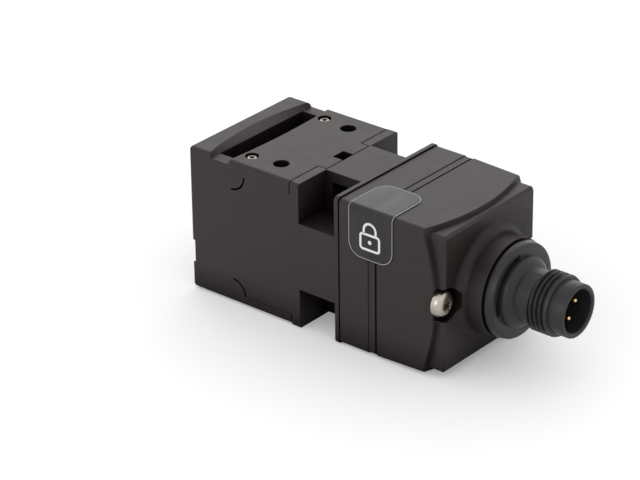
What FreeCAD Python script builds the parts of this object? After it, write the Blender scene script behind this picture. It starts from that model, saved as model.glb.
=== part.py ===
import FreeCAD, Part
import math
import os

# Tongue interlock switch with a two-way actuator head and an M12 connector.
# X runs from the head to the connector, +Z points away from the mounting face.
# Every piece is drawn with x = 0 on the head's end face and y = z = 0 on the
# centre axis, and is moved to the frame of the mounting holes when it is written.

# ---- head cap -----------------------------------------------------------------------------
HEAD_WIDTH = 30.0
HEAD_HEIGHT = 30.3
CAP_BLOCK_LENGTH = 10.7
CAP_ARM_LENGTH = 14.7
CAP_TOP_ARM = 2.6
CAP_BOTTOM_ARM = 2.0
CAP_EDGE_RADIUS = 0.8
CAP_REGISTER = 0.5
SHUT_LINE = 0.25
BOTTOM_SHUT_LINE = 0.12
CAP_TONGUE_INSET = 0.4
CAP_TOP_LUG_RADIUS = 3.1
CAP_BOTTOM_LUG_RADIUS = 2.8
LUG_GAP = 0.4

# ---- actuator slots (one on the top, the same one turned 90 degrees on the end) -----------
SLOT_WALL = 5.7
SLOT_WIDTH = 4.5
SLOT_SPAN = 24.6
SLOT_DEPTH = 16.8
SLOT_BAR_DEPTH = 20.5
SLOT_BAR_SPAN = 13.2
SLOT_STEP = 0.95
SLOT_EDGE_BOW = 0.85
RAMP_LENGTH = 2.3
RAMP_END_LENGTH = 0.1

# ---- fixing of the head -------------------------------------------------------------------
MOUNT_HOLE_FROM_END = 19.15
MOUNT_HOLE_SPACING = 20.0
MOUNT_HOLE_RADIUS = 1.6
HEAD_SCREW_FROM_END = 12.55
HEAD_SCREW_SPACING = 21.6
HEAD_SCREW_HEAD_RADIUS = 1.05
HEAD_SCREW_HEAD_HEIGHT = 0.9
HEAD_SCREW_SHANK_RADIUS = 0.7
HEAD_SCREW_LENGTH = 7.0
HEAD_SCREW_DEPTH = 1.2
HEAD_SCREW_RECESS_GAP = 0.3
LATCH_HOLE_LENGTH = 2.6
LATCH_HOLE_WIDTH = 3.2
LATCH_HOLE_DEPTH = 6.0

# ---- head frame: flange, neck and rim -----------------------------------------------------
FLANGE_THICKNESS = 2.0
NECK_LENGTH = 8.8
NECK_BAR_WIDTH = 13.4
NECK_BAR_HEIGHT = 14.0
NECK_WINDOW_FROM_FLANGE = 1.5
NECK_WINDOW_LENGTH = 6.0
NECK_WINDOW_HEIGHT = 4.0
NECK_TOP_PLATE = 2.2
RIM_THICKNESS = 0.9
RIM_SIDE_PROUD = 0.1
RIM_TOP_PROUD = 0.25
FRAME_EDGE_RADIUS = 0.6

# ---- housing ------------------------------------------------------------------------------
BODY_PROUD = 0.05
BODY_EDGE_RADIUS = 0.9
BASE_LENGTH = 8.6
BASE_WALL = 2.2
GROOVE_WIDTH = 0.25
GROOVE_DEPTH = 0.3
LIP_LENGTH = 1.6
LIP_INSET = 0.12
SEAL_THICKNESS = 0.5
SEAL_INSET = 0.6
HOUSING_SIDE_WALL = 3.85
HOUSING_TOP_WALL = 2.55
COVER_LENGTH = 14.8
COVER_TAPER = 1.3
COVER_END_WALL = 2.4
DOME_RADIUS = 44.5
END_BLOCK_PROUD = 1.85
END_BLOCK_SIDE_INSET = 1.2
END_BLOCK_TOP_INSET = 1.05
END_BLOCK_EDGE = 0.5
BOSS_LENGTH = 5.3
BOSS_RADIUS = 9.7
BOSS_FOOT = 1.9
BOSS_FOOT_CONES = 3
COVER_SCREW_INSET = 2.1
COVER_SCREW_LENGTH = 20.0
COVER_SCREW_SHANK_RADIUS = 1.2
COVER_SCREW_HEAD_RADIUS = 2.6
COVER_SCREW_HEAD_HEIGHT = 1.9
COVER_SCREW_POCKET_GAP = 0.85
LABEL_FROM_RIM = 2.5
LABEL_LENGTH = 10.4
LABEL_SIDE_HEIGHT = 10.4
LABEL_TOP_WIDTH = 10.4
LABEL_CORNER_RADIUS = 3.0
LABEL_THICKNESS = 0.12

# ---- connector ----------------------------------------------------------------------------
CONNECTOR_SHANK_RADIUS = 6.5
CONNECTOR_FLANGE_GAP = 0.5
CONNECTOR_FLANGE_RADIUS = 9.5
CONNECTOR_FLANGE_THICKNESS = 1.7
HUB_RADIUS = 7.6
HUB_LENGTH = 2.15
HUB_CONE_LENGTH = 0.7
CONNECTOR_NECK_RADIUS = 5.4
CONNECTOR_NECK_LENGTH = 2.15
THREAD_RADIUS = 6.0
THREAD_LENGTH = 6.4
TIP_RADIUS = 5.1
TIP_LENGTH = 1.3
SOCKET_RADIUS = 4.35
SOCKET_DEPTH = 8.2
INSERT_LENGTH = 13.2
KEY_WIDTH = 1.0
KEY_HEIGHT = 0.6
KEY_ANGLE = 147.0
KEY_SETBACK = 0.8
PIN_RADIUS = 0.5
PIN_CIRCLE_RADIUS = 2.5
PIN_SETBACK = 2.2
PIN_TAIL = 2.0
PIN_COUNT = 4
NUT_THICKNESS = 2.2
NUT_ACROSS_FLATS = 16.0
RING_SECTION_RADIUS = 0.65
RING_RADIUS = 8.2
RING_GROOVE_DEPTH = 0.7

# ---- cam wheel and plunger ----------------------------------------------------------------
WHEEL_RADIUS = 8.0
WHEEL_WIDTH = 9.2
DISC_THICKNESS = 1.6
CAM_REST_RADIUS = 7.2
CAM_SWING = 50.0
CAM_LEAD_IN = 12.0
CAM_LEAD_OUT = 26.0
STROKE = 2.5
NOTCH_WIDTH = 3.4
NOTCH_DEPTH = 3.2
NOTCH_ANGLE = 155.0
AXLE_RADIUS = 1.5
AXLE_LENGTH = 19.0
PLUNGER_RADIUS = 2.0
NOSE_RADIUS = 0.8
NOSE_WIDTH = 3.4
NOSE_LENGTH = 3.0
COLLAR_FROM_NOSE = 4.8
COLLAR_THICKNESS = 1.5
COLLAR_OUTER_RADIUS = 3.3
GUIDE_BORE_RADIUS = 3.4
GUIDE_RADIUS = 4.2
GUIDE_FRONT_WALL = 1.0
GUIDE_END_WALL = 1.6
SPRING_RADIUS = 2.7
SPRING_WIRE = 0.5
SPRING_TURNS = 4
SPRING_STEPS = 12
STUB_RADIUS = 1.2
STUB_LENGTH = 0.7

# ---- contact block ------------------------------------------------------------------------
BLOCK_SIDE_GAP = 0.7
BLOCK_HEIGHT = 18.0
BLOCK_WALL = 1.2
LID_THICKNESS = 1.5
CARRIER_WIDTH = 6.0
CARRIER_HEIGHT = 8.0
CARRIER_WEB = 0.8
WINDOW_LENGTH = 1.8
WINDOW_HEIGHT = 4.6
BRIDGE_SPAN = 13.0
BRIDGE_WIDTH = 4.0
BRIDGE_THICKNESS = 0.4
RIVET_RADIUS = 1.2
RIVET_HEIGHT = 0.3
RIVET_SPACING = 10.0
STRIP_THICKNESS = 0.5
STRIP_WIDTH = 3.0
STRIP_LEVEL = 3.0
STRIP_SIDE_GAP = 0.6
TAIL_LENGTH = 1.2
LEAD_SIZE = 0.8
LEAD_STRAIGHT_END = 1.0
LEAF_SPAN = 5.0
LEAF_WIDTH = 2.4
LEAF_THICKNESS = 0.2

# ---- clearances ---------------------------------------------------------------------------
RUNNING_FIT = 0.05
HELD_FIT = 0.02
SCREW_CLEARANCE = 0.1
PART_GAP = 0.2
WHEEL_GAP = 0.4
NOSE_GAP = 0.28
CONTACT_GAP = 0.1
OVERCUT = 1.0

# ---- stations along the axis, counted from the head's end face ----------------------------
FLANGE_FRONT = CAP_BLOCK_LENGTH + CAP_ARM_LENGTH
FLANGE_BACK = FLANGE_FRONT + FLANGE_THICKNESS
NECK_BACK = FLANGE_BACK + NECK_LENGTH
BASE_FRONT = NECK_BACK + RIM_THICKNESS
BASE_FLOOR = BASE_FRONT + BASE_WALL
SEAM_FRONT = BASE_FRONT + BASE_LENGTH
SEAM_BACK = SEAM_FRONT + SEAL_THICKNESS
COVER_END = SEAM_BACK + COVER_LENGTH
COVER_INSIDE = COVER_END - COVER_END_WALL
BOSS_END = COVER_END + BOSS_LENGTH
CONNECTOR_SEAT = BOSS_END + CONNECTOR_FLANGE_GAP
HUB_FRONT = CONNECTOR_SEAT + CONNECTOR_FLANGE_THICKNESS
CONE_FRONT = HUB_FRONT + HUB_LENGTH
CONNECTOR_NECK_FRONT = CONE_FRONT + HUB_CONE_LENGTH
THREAD_FRONT = CONNECTOR_NECK_FRONT + CONNECTOR_NECK_LENGTH
THREAD_END = THREAD_FRONT + THREAD_LENGTH
TIP_END = THREAD_END + TIP_LENGTH
SOCKET_FLOOR = TIP_END - SOCKET_DEPTH
INSERT_BACK = SOCKET_FLOOR - INSERT_LENGTH
NUT_BACK = COVER_INSIDE - NUT_THICKNESS
PIN_BACK = INSERT_BACK - PIN_TAIL

# ---- widths, heights and places shared by several pieces ----------------------------------
BODY_WIDTH = HEAD_WIDTH + 2 * BODY_PROUD
BODY_HEIGHT = HEAD_HEIGHT
RIM_WIDTH = BODY_WIDTH + 2 * RIM_SIDE_PROUD
RIM_HEIGHT = BODY_HEIGHT + 2 * RIM_TOP_PROUD
CAVITY_WIDTH = BODY_WIDTH - 2 * HOUSING_SIDE_WALL
CAVITY_HEIGHT = BODY_HEIGHT - 2 * HOUSING_TOP_WALL
END_BLOCK_WIDTH = BODY_WIDTH - 2 * END_BLOCK_SIDE_INSET
END_BLOCK_HEIGHT = BODY_HEIGHT - 2 * END_BLOCK_TOP_INSET
COVER_SCREW_Y = BODY_WIDTH / 2 - COVER_SCREW_INSET
BLOCK_WIDTH = CAVITY_WIDTH - 2 * BLOCK_SIDE_GAP
TOP = HEAD_HEIGHT / 2
FRAME_TOP = TOP - CAP_TOP_ARM
FRAME_BOTTOM = CAP_BOTTOM_ARM - TOP
SIDE = HEAD_WIDTH / 2
REGISTER_X = CAP_BLOCK_LENGTH - CAP_REGISTER
ARM_END = FLANGE_FRONT - SHUT_LINE
TONGUE_END = FLANGE_BACK - SHUT_LINE
TONGUE_HALF = NECK_BAR_WIDTH / 2 - CAP_TONGUE_INSET
WHEEL_X = HEAD_HEIGHT / 2
WHEEL_CAVITY_RADIUS = WHEEL_RADIUS + WHEEL_GAP
CAM_GROOVE_WIDTH = 2 * (PLUNGER_RADIUS + PART_GAP)
WHEEL_CAVITY_WIDTH = WHEEL_WIDTH + 2 * DISC_THICKNESS + 2 * PART_GAP
NOSE_TIP = WHEEL_X + CAM_REST_RADIUS + NOSE_GAP
COLLAR_START = NOSE_TIP + COLLAR_FROM_NOSE
GUIDE_FRONT = WHEEL_X + WHEEL_CAVITY_RADIUS + GUIDE_FRONT_WALL
GUIDE_BACK = BASE_FLOOR
GUIDE_END_WALL_FRONT = GUIDE_BACK - GUIDE_END_WALL
BLOCK_FRONT = BASE_FLOOR
SAFETY_STRIP_X = BLOCK_FRONT + BLOCK_WALL
SAFETY_RIVET_X = SAFETY_STRIP_X + STRIP_THICKNESS
SAFETY_BRIDGE_X = SAFETY_RIVET_X + RIVET_HEIGHT + STROKE + CONTACT_GAP + RIVET_HEIGHT
CARRIER_FRONT = SAFETY_BRIDGE_X - CARRIER_WEB
SIGNAL_WINDOW_X = SAFETY_BRIDGE_X + WINDOW_LENGTH + CARRIER_WEB
SIGNAL_BRIDGE_X = SIGNAL_WINDOW_X + WINDOW_LENGTH - BRIDGE_THICKNESS
CARRIER_BACK = SIGNAL_WINDOW_X + WINDOW_LENGTH + CARRIER_WEB
SIGNAL_STRIP_X = SIGNAL_BRIDGE_X + BRIDGE_THICKNESS + 2 * RIVET_HEIGHT + CONTACT_GAP
BLOCK_BACK = SIGNAL_STRIP_X + STRIP_THICKNESS + BLOCK_WALL
TAIL_END = BLOCK_BACK + TAIL_LENGTH
BLOCK_INNER_HALF = BLOCK_WIDTH / 2 - BLOCK_WALL
LID_LEVEL = BLOCK_HEIGHT / 2 - LID_THICKNESS
COVER_SCREW_SEAT = COVER_END - COVER_SCREW_HEAD_HEIGHT


def vec(x, y, z):
    return FreeCAD.Vector(x, y, z)


ALONG_X = vec(1, 0, 0)
ALONG_Y = vec(0, 1, 0)
ALONG_Z = vec(0, 0, 1)


def box(x, y, z):
    """Box between the lowest and highest value on each axis."""
    return Part.makeBox(x[1] - x[0], y[1] - y[0], z[1] - z[0], vec(x[0], y[0], z[0]))


def centred_box(x, width, height):
    """Box along the centre axis, with its width across Y and its height along Z."""
    return box(x, (-width / 2, width / 2), (-height / 2, height / 2))


def rod(x, radius, y=0.0, z=0.0):
    """Cylinder along X between two stations."""
    return Part.makeCylinder(radius, x[1] - x[0], vec(x[0], y, z), ALONG_X)


def cross_rod(y, radius, x, z):
    """Cylinder along Y."""
    return Part.makeCylinder(radius, y[1] - y[0], vec(x, y[0], z), ALONG_Y)


def upright(z, radius, x, y):
    """Cylinder along Z."""
    return Part.makeCylinder(radius, z[1] - z[0], vec(x, y, z[0]), ALONG_Z)


def turned(profile):
    """Solid of revolution about the centre axis, from (station, radius) corners."""
    points = [vec(x, 0, r) for x, r in profile]
    face = Part.Face(Part.makePolygon(points + [points[0]]))
    return face.revolve(vec(0, 0, 0), ALONG_X, 360)


def joined(shapes):
    """Fuse several solids and drop the seams between coplanar faces."""
    return shapes[0].fuse(shapes[1:]).removeSplitter()


def both_sides(shape):
    """The piece and its mirror image across the middle plane."""
    return [shape, shape.mirror(vec(0, 0, 0), ALONG_Y)]


def rounded_outline(x, width, height, radius):
    """Rectangle across the axis with round corners, as a closed wire."""
    edges = []
    last = None
    first = None
    for quarter, (side_y, side_z) in enumerate([(-1, -1), (1, -1), (1, 1), (-1, 1)]):
        centre_y = side_y * (width / 2 - radius)
        centre_z = side_z * (height / 2 - radius)
        points = []
        for turn in (0, 45, 90):
            angle = math.radians(180 + 90 * quarter + turn)
            points.append(vec(x, centre_y + radius * math.cos(angle), centre_z + radius * math.sin(angle)))
        if last is not None:
            edges.append(Part.LineSegment(last, points[0]).toShape())
        else:
            first = points[0]
        edges.append(Part.Arc(*points).toShape())
        last = points[2]
    edges.append(Part.LineSegment(last, first).toShape())
    return Part.Wire(edges)


def rounded_bar(x, width, height, radius):
    """Bar along X with its four long edges rounded."""
    outline = rounded_outline(x[0], width, height, radius)
    return Part.Face(outline).extrude(vec(x[1] - x[0], 0, 0))


def square_wire(middle, across, upwards):
    """Closed wire round a strip's section, from its middle and its two half widths."""
    corners = [middle + across * a + upwards * b for a, b in ((-1, -1), (1, -1), (1, 1), (-1, 1))]
    return Part.makePolygon(corners + [corners[0]])


def ring_edges(shape, x):
    """The edges of a shape that lie wholly at one station."""
    found = []
    for edge in shape.Edges:
        limits = edge.BoundBox
        if abs(limits.XMin - x) < 1e-4 and abs(limits.XMax - x) < 1e-4:
            found.append(edge)
    return found


# ---- actuator slots -----------------------------------------------------------------------

def slot_outline(level, start, edge_half):
    """Plan of the slot's mouth, with the far edge bowed away from the end face."""
    near_right = vec(SLOT_WALL + SLOT_WIDTH, -edge_half, level)
    far_right = vec(SLOT_WALL + SLOT_WIDTH, edge_half, level)
    middle = vec(SLOT_WALL + SLOT_WIDTH + SLOT_EDGE_BOW, 0, level)
    near_left = vec(start, -edge_half, level)
    far_left = vec(start, edge_half, level)
    return Part.Wire([
        Part.LineSegment(near_left, near_right).toShape(),
        Part.Arc(near_right, middle, far_right).toShape(),
        Part.LineSegment(far_right, far_left).toShape(),
        Part.LineSegment(far_left, near_left).toShape(),
    ])


def ramp_front(level, mid_length, end_length):
    """Front edge of the ramp at one level: straight, or bowed towards the end face."""
    half = SIDE + OVERCUT
    near = vec(SLOT_WALL - end_length, -half, level)
    far = vec(SLOT_WALL - end_length, half, level)
    if mid_length == end_length:
        return Part.LineSegment(near, far).toShape()
    return Part.Arc(near, vec(SLOT_WALL - mid_length, 0, level), far).toShape()


def ramp():
    """Hollow in front of the slot, from a straight foot to a bowed front edge on the top."""
    back = SLOT_WALL + SLOT_WIDTH / 2
    outlines = []
    for level, mid_length, end_length in (
        (TOP - SLOT_STEP, 0.0, 0.0), (TOP, RAMP_LENGTH, RAMP_END_LENGTH),
    ):
        front = ramp_front(level, mid_length, end_length)
        near, far = front.Vertexes[0].Point, front.Vertexes[-1].Point
        near_back = vec(back, near.y, level)
        far_back = vec(back, far.y, level)
        outlines.append(Part.Wire([
            front,
            Part.LineSegment(far, far_back).toShape(),
            Part.LineSegment(far_back, near_back).toShape(),
            Part.LineSegment(near_back, near).toShape(),
        ]))
    return Part.makeLoft(outlines, True, True)


def top_slot():
    """Everything that the top slot takes away: channel, bar channel, step and ramp."""
    across = (SLOT_WALL, SLOT_WALL + SLOT_WIDTH)
    channel = box(across, (-SLOT_SPAN / 2, SLOT_SPAN / 2), (TOP - SLOT_DEPTH, TOP + OVERCUT))
    bar_way = box(across, (-SLOT_BAR_SPAN / 2, SLOT_BAR_SPAN / 2), (TOP - SLOT_BAR_DEPTH, TOP))
    mouth = Part.Face(slot_outline(FRAME_TOP, SLOT_WALL, SLOT_SPAN / 2))
    step = Part.Face(slot_outline(TOP - SLOT_STEP, SLOT_WALL, SIDE + OVERCUT))
    return joined([
        channel,
        bar_way,
        mouth.extrude(vec(0, 0, CAP_TOP_ARM + OVERCUT)),
        step.extrude(vec(0, 0, SLOT_STEP + OVERCUT)),
        ramp(),
    ])


def end_slot():
    """The top slot turned about the wheel's axis, so that it opens on the end face."""
    slot = top_slot()
    slot.rotate(vec(WHEEL_X, 0, 0), vec(0, -1, 0), 90)
    return slot


def wheel_cavity():
    half = WHEEL_CAVITY_WIDTH / 2
    return cross_rod((-half, half), WHEEL_CAVITY_RADIUS, WHEEL_X, 0)


def mount_holes(low, high):
    return both_sides(upright((low, high), MOUNT_HOLE_RADIUS, MOUNT_HOLE_FROM_END, MOUNT_HOLE_SPACING / 2))


def lug(radius, z):
    """Round lug in the cap's side wall, one on each side."""
    wall = (SLOT_SPAN / 2, SIDE)
    return both_sides(cross_rod(wall, radius, CAP_BLOCK_LENGTH, z))


def latch_hole(low):
    return box(
        (FLANGE_BACK - LATCH_HOLE_LENGTH, FLANGE_BACK),
        (-LATCH_HOLE_WIDTH / 2, LATCH_HOLE_WIDTH / 2),
        (low, TOP + OVERCUT),
    )


# ---- housing pieces -----------------------------------------------------------------------

def head_cap():
    """C-shaped cap: a slotted end block with one arm over and one arm under the frame."""
    outer = centred_box((0, ARM_END), HEAD_WIDTH, HEAD_HEIGHT)
    edges = []
    for edge in outer.Edges:
        limits = edge.BoundBox
        lengthwise = limits.XLength > HEAD_WIDTH / 2
        if limits.XMax < 1e-4 or lengthwise:
            edges.append(edge)
    outer = outer.makeFillet(CAP_EDGE_RADIUS, edges)
    tongue = box((ARM_END - OVERCUT, TONGUE_END), (-TONGUE_HALF, TONGUE_HALF), (FRAME_TOP, TOP))
    frame_space = box(
        (CAP_BLOCK_LENGTH, FLANGE_FRONT + OVERCUT),
        (-HEAD_WIDTH, HEAD_WIDTH),
        (FRAME_BOTTOM, FRAME_TOP),
    )
    register = box(
        (REGISTER_X, CAP_BLOCK_LENGTH + OVERCUT),
        (-SLOT_SPAN / 2, SLOT_SPAN / 2),
        (FRAME_BOTTOM, FRAME_TOP),
    )
    body = outer.cut(frame_space.fuse(register))
    lugs = lug(CAP_TOP_LUG_RADIUS, FRAME_TOP) + lug(CAP_BOTTOM_LUG_RADIUS, FRAME_BOTTOM)
    body = joined([body, tongue] + [piece.common(outer) for piece in lugs])
    tools = [top_slot(), end_slot(), wheel_cavity(), latch_hole(FRAME_TOP - OVERCUT)]
    tools += mount_holes(-TOP - OVERCUT, TOP + OVERCUT)
    seat = TOP - HEAD_SCREW_DEPTH
    recess_radius = HEAD_SCREW_HEAD_RADIUS + HEAD_SCREW_RECESS_GAP
    shank_radius = HEAD_SCREW_SHANK_RADIUS + SCREW_CLEARANCE
    place = (HEAD_SCREW_FROM_END, HEAD_SCREW_SPACING / 2)
    tools += both_sides(upright((seat, TOP + OVERCUT), recess_radius, *place))
    tools += both_sides(upright((seat - HEAD_SCREW_LENGTH, TOP), shank_radius, *place))
    return body.cut(tools)


def head_screws():
    """Two small pan-head screws that hold the cap on the frame."""
    seat = TOP - HEAD_SCREW_DEPTH
    place = (HEAD_SCREW_FROM_END, HEAD_SCREW_SPACING / 2)
    head = upright((seat, seat + HEAD_SCREW_HEAD_HEIGHT), HEAD_SCREW_HEAD_RADIUS, *place)
    shank = upright((seat - HEAD_SCREW_LENGTH, seat), HEAD_SCREW_SHANK_RADIUS, *place)
    return Part.makeCompound(both_sides(joined([head, shank])))


def head_frame():
    """Frame that carries the cam wheel, with the flange, the notched neck and the rim."""
    levels = (FRAME_BOTTOM + BOTTOM_SHUT_LINE, FRAME_TOP)
    core = box((CAP_BLOCK_LENGTH, FLANGE_FRONT + OVERCUT), (-SIDE, SIDE), levels)
    spigot_half = SLOT_SPAN / 2 - PART_GAP
    spigot = box((REGISTER_X, FLANGE_FRONT), (-spigot_half, spigot_half), levels)
    flange_height = TOP + RIM_HEIGHT / 2
    flange = rounded_bar((FLANGE_FRONT, FLANGE_BACK), HEAD_WIDTH, flange_height, FRAME_EDGE_RADIUS)
    flange.translate(vec(0, 0, (TOP - RIM_HEIGHT / 2) / 2))
    neck = (FLANGE_FRONT, BASE_FRONT)
    upright_bar = centred_box(neck, NECK_BAR_WIDTH, HEAD_HEIGHT)
    level_bar = centred_box(neck, HEAD_WIDTH, NECK_BAR_HEIGHT)
    rim = rounded_bar((NECK_BACK, BASE_FRONT), RIM_WIDTH, RIM_HEIGHT, BODY_EDGE_RADIUS)
    frame = joined([core, spigot, flange, upright_bar, level_bar, rim])
    seat_half = TONGUE_HALF + PART_GAP
    tongue_seat = box(
        (FLANGE_FRONT - OVERCUT, FLANGE_BACK), (-seat_half, seat_half), (FRAME_TOP, TOP + OVERCUT),
    )
    window_top = TOP - NECK_TOP_PLATE
    window_front = FLANGE_BACK + NECK_WINDOW_FROM_FLANGE
    window = box(
        (window_front, window_front + NECK_WINDOW_LENGTH),
        (-NECK_BAR_WIDTH, NECK_BAR_WIDTH),
        (window_top - NECK_WINDOW_HEIGHT, window_top),
    )
    lugs = lug(CAP_TOP_LUG_RADIUS + LUG_GAP, FRAME_TOP)
    lugs += lug(CAP_BOTTOM_LUG_RADIUS + LUG_GAP, FRAME_BOTTOM)
    tools = [tongue_seat, window, end_slot(), wheel_cavity(), latch_hole(TOP - LATCH_HOLE_DEPTH)]
    tools += lugs
    tools += mount_holes(-RIM_HEIGHT, RIM_HEIGHT)
    tools.append(cross_rod((-AXLE_LENGTH / 2, AXLE_LENGTH / 2), AXLE_RADIUS + HELD_FIT, WHEEL_X, 0))
    tools.append(rod((WHEEL_X, GUIDE_BACK), PLUNGER_RADIUS + PART_GAP))
    tools.append(rod((GUIDE_FRONT, GUIDE_BACK), GUIDE_RADIUS + HELD_FIT))
    screw_end = TOP - HEAD_SCREW_DEPTH - HEAD_SCREW_LENGTH - PART_GAP
    tools += both_sides(upright(
        (screw_end, TOP), HEAD_SCREW_SHANK_RADIUS + HELD_FIT, HEAD_SCREW_FROM_END, HEAD_SCREW_SPACING / 2,
    ))
    return frame.cut(tools)


def screw_axes(x, radius):
    """Rods on the two cover screws' axes."""
    return both_sides(rod(x, radius, COVER_SCREW_Y))


def base_housing():
    """Base of the switch housing, between the rim and the cover's seal."""
    groove_back = BASE_FRONT + GROOVE_WIDTH
    lip_front = SEAM_FRONT - LIP_LENGTH
    groove = rounded_bar(
        (BASE_FRONT, groove_back + OVERCUT),
        BODY_WIDTH - 2 * GROOVE_DEPTH, BODY_HEIGHT - 2 * GROOVE_DEPTH, BODY_EDGE_RADIUS,
    )
    main = rounded_bar((groove_back, lip_front), BODY_WIDTH, BODY_HEIGHT, BODY_EDGE_RADIUS)
    lip = rounded_bar(
        (lip_front - OVERCUT, SEAM_FRONT),
        BODY_WIDTH - 2 * LIP_INSET, BODY_HEIGHT - 2 * LIP_INSET, BODY_EDGE_RADIUS,
    )
    cavity = centred_box((BASE_FLOOR, SEAM_FRONT + OVERCUT), CAVITY_WIDTH, CAVITY_HEIGHT)
    guide_hole = rod((BASE_FRONT - OVERCUT, SEAM_FRONT), GUIDE_RADIUS + HELD_FIT)
    screw_end = COVER_SCREW_SEAT - COVER_SCREW_LENGTH - PART_GAP
    pilots = screw_axes((screw_end, SEAM_FRONT + OVERCUT), COVER_SCREW_SHANK_RADIUS + HELD_FIT)
    return joined([groove, main, lip]).cut([cavity, guide_hole] + pilots)


def cover_outline(grow):
    """Tapered body of the cover, with every face moved outwards by grow."""
    taper = COVER_LENGTH * math.tan(math.radians(COVER_TAPER))
    half_y = BODY_WIDTH / 2 + grow
    half_z = BODY_HEIGHT / 2 + grow
    wedge = Part.makeWedge(
        -half_y, SEAM_BACK, -half_z, taper - half_z, taper - half_y,
        half_y, COVER_END, half_z, half_z - taper, half_y - taper,
    )
    wedge.rotate(vec(0, 0, 0), ALONG_Z, -90)
    slanting = [edge for edge in wedge.Edges if edge.BoundBox.XLength > COVER_LENGTH / 2]
    return wedge.makeFillet(BODY_EDGE_RADIUS + grow, slanting)


def connector_boss():
    """Round boss with a hollow foot, in short cones, that spreads on the cover's end face."""
    profile = [(COVER_INSIDE, 0), (COVER_INSIDE, BOSS_RADIUS + BOSS_FOOT)]
    for step in range(BOSS_FOOT_CONES + 1):
        turn = math.pi / 2 * step / BOSS_FOOT_CONES
        station = COVER_END + BOSS_FOOT * (1 - math.cos(turn))
        profile.append((station, BOSS_RADIUS + BOSS_FOOT * (1 - math.sin(turn))))
    return turned(profile + [(BOSS_END, BOSS_RADIUS), (BOSS_END, 0)])


def rear_cover():
    """Cover with a domed end, a raised end block and the boss that carries the connector."""
    dome_reach = math.sqrt(DOME_RADIUS ** 2 - (BODY_WIDTH / 2) ** 2)
    dome = Part.makeSphere(DOME_RADIUS, vec(COVER_END - END_BLOCK_PROUD - dome_reach, 0, 0))
    shell = cover_outline(0).common(dome)
    end_block = rounded_bar(
        (SEAM_BACK + COVER_LENGTH / 2, COVER_END), END_BLOCK_WIDTH, END_BLOCK_HEIGHT, BODY_EDGE_RADIUS,
    )
    end_block = end_block.makeChamfer(END_BLOCK_EDGE, ring_edges(end_block, COVER_END))
    cover = joined([shell, end_block, connector_boss()])
    cavity = centred_box((SEAM_BACK - OVERCUT, COVER_INSIDE), CAVITY_WIDTH, CAVITY_HEIGHT)
    bore = rod((SEAM_BACK, BOSS_END + OVERCUT), CONNECTOR_SHANK_RADIUS + HELD_FIT)
    ring_outer = RING_RADIUS + RING_SECTION_RADIUS
    ring_inner = RING_RADIUS - RING_SECTION_RADIUS
    ring_floor = BOSS_END - RING_GROOVE_DEPTH
    ring_groove = rod((ring_floor, BOSS_END + OVERCUT), ring_outer)
    ring_groove = ring_groove.cut(rod((ring_floor, BOSS_END + OVERCUT), ring_inner))
    pocket_radius = COVER_SCREW_HEAD_RADIUS + COVER_SCREW_POCKET_GAP
    tools = [cavity, bore, ring_groove]
    tools += screw_axes((SEAM_BACK - OVERCUT, COVER_END), COVER_SCREW_SHANK_RADIUS + SCREW_CLEARANCE)
    tools += screw_axes((COVER_SCREW_SEAT, COVER_END + OVERCUT), pocket_radius)
    return cover.cut(tools)


def cover_seal():
    """Flat rubber seal between the base and the cover."""
    seam = (SEAM_FRONT, SEAM_BACK)
    ring = rounded_bar(
        seam, BODY_WIDTH - 2 * SEAL_INSET, BODY_HEIGHT - 2 * SEAL_INSET, BODY_EDGE_RADIUS,
    )
    inside = centred_box(seam, CAVITY_WIDTH, CAVITY_HEIGHT)
    holes = screw_axes(seam, COVER_SCREW_SHANK_RADIUS + SCREW_CLEARANCE)
    return ring.cut([inside] + holes)


def cover_screws():
    """Two long pan-head screws through the cover into the base."""
    head_end = COVER_SCREW_SEAT + COVER_SCREW_HEAD_HEIGHT
    shank_end = COVER_SCREW_SEAT - COVER_SCREW_LENGTH
    screw = turned([
        (shank_end, 0), (shank_end, COVER_SCREW_SHANK_RADIUS), (COVER_SCREW_SEAT, COVER_SCREW_SHANK_RADIUS),
        (COVER_SCREW_SEAT, COVER_SCREW_HEAD_RADIUS), (head_end, COVER_SCREW_HEAD_RADIUS), (head_end, 0),
    ])
    screw.translate(vec(0, COVER_SCREW_Y, 0))
    return Part.makeCompound(both_sides(screw))


def hexagon(x, length, across_flats):
    """Hexagonal bar along X."""
    corner_radius = across_flats / math.sqrt(3)
    points = []
    for side in range(6):
        angle = math.radians(60 * side)
        points.append(vec(x, corner_radius * math.cos(angle), corner_radius * math.sin(angle)))
    return Part.Face(Part.makePolygon(points + [points[0]])).extrude(vec(length, 0, 0))


def label_skin(grow):
    """Outside of the base and of the front of the cover, moved outwards by grow."""
    radius = BODY_EDGE_RADIUS + grow
    width = BODY_WIDTH + 2 * grow
    height = BODY_HEIGHT + 2 * grow
    end = BASE_FRONT + LABEL_FROM_RIM + LABEL_LENGTH + OVERCUT
    shrink = 2 * (end - SEAM_BACK) * math.tan(math.radians(COVER_TAPER))
    cover = Part.makeLoft([
        rounded_outline(SEAM_BACK, width, height, radius),
        rounded_outline(end, width - shrink, height - shrink, radius),
    ], True, True)
    return rounded_bar((BASE_FRONT, SEAM_BACK), width, height, radius).fuse(cover)


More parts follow.
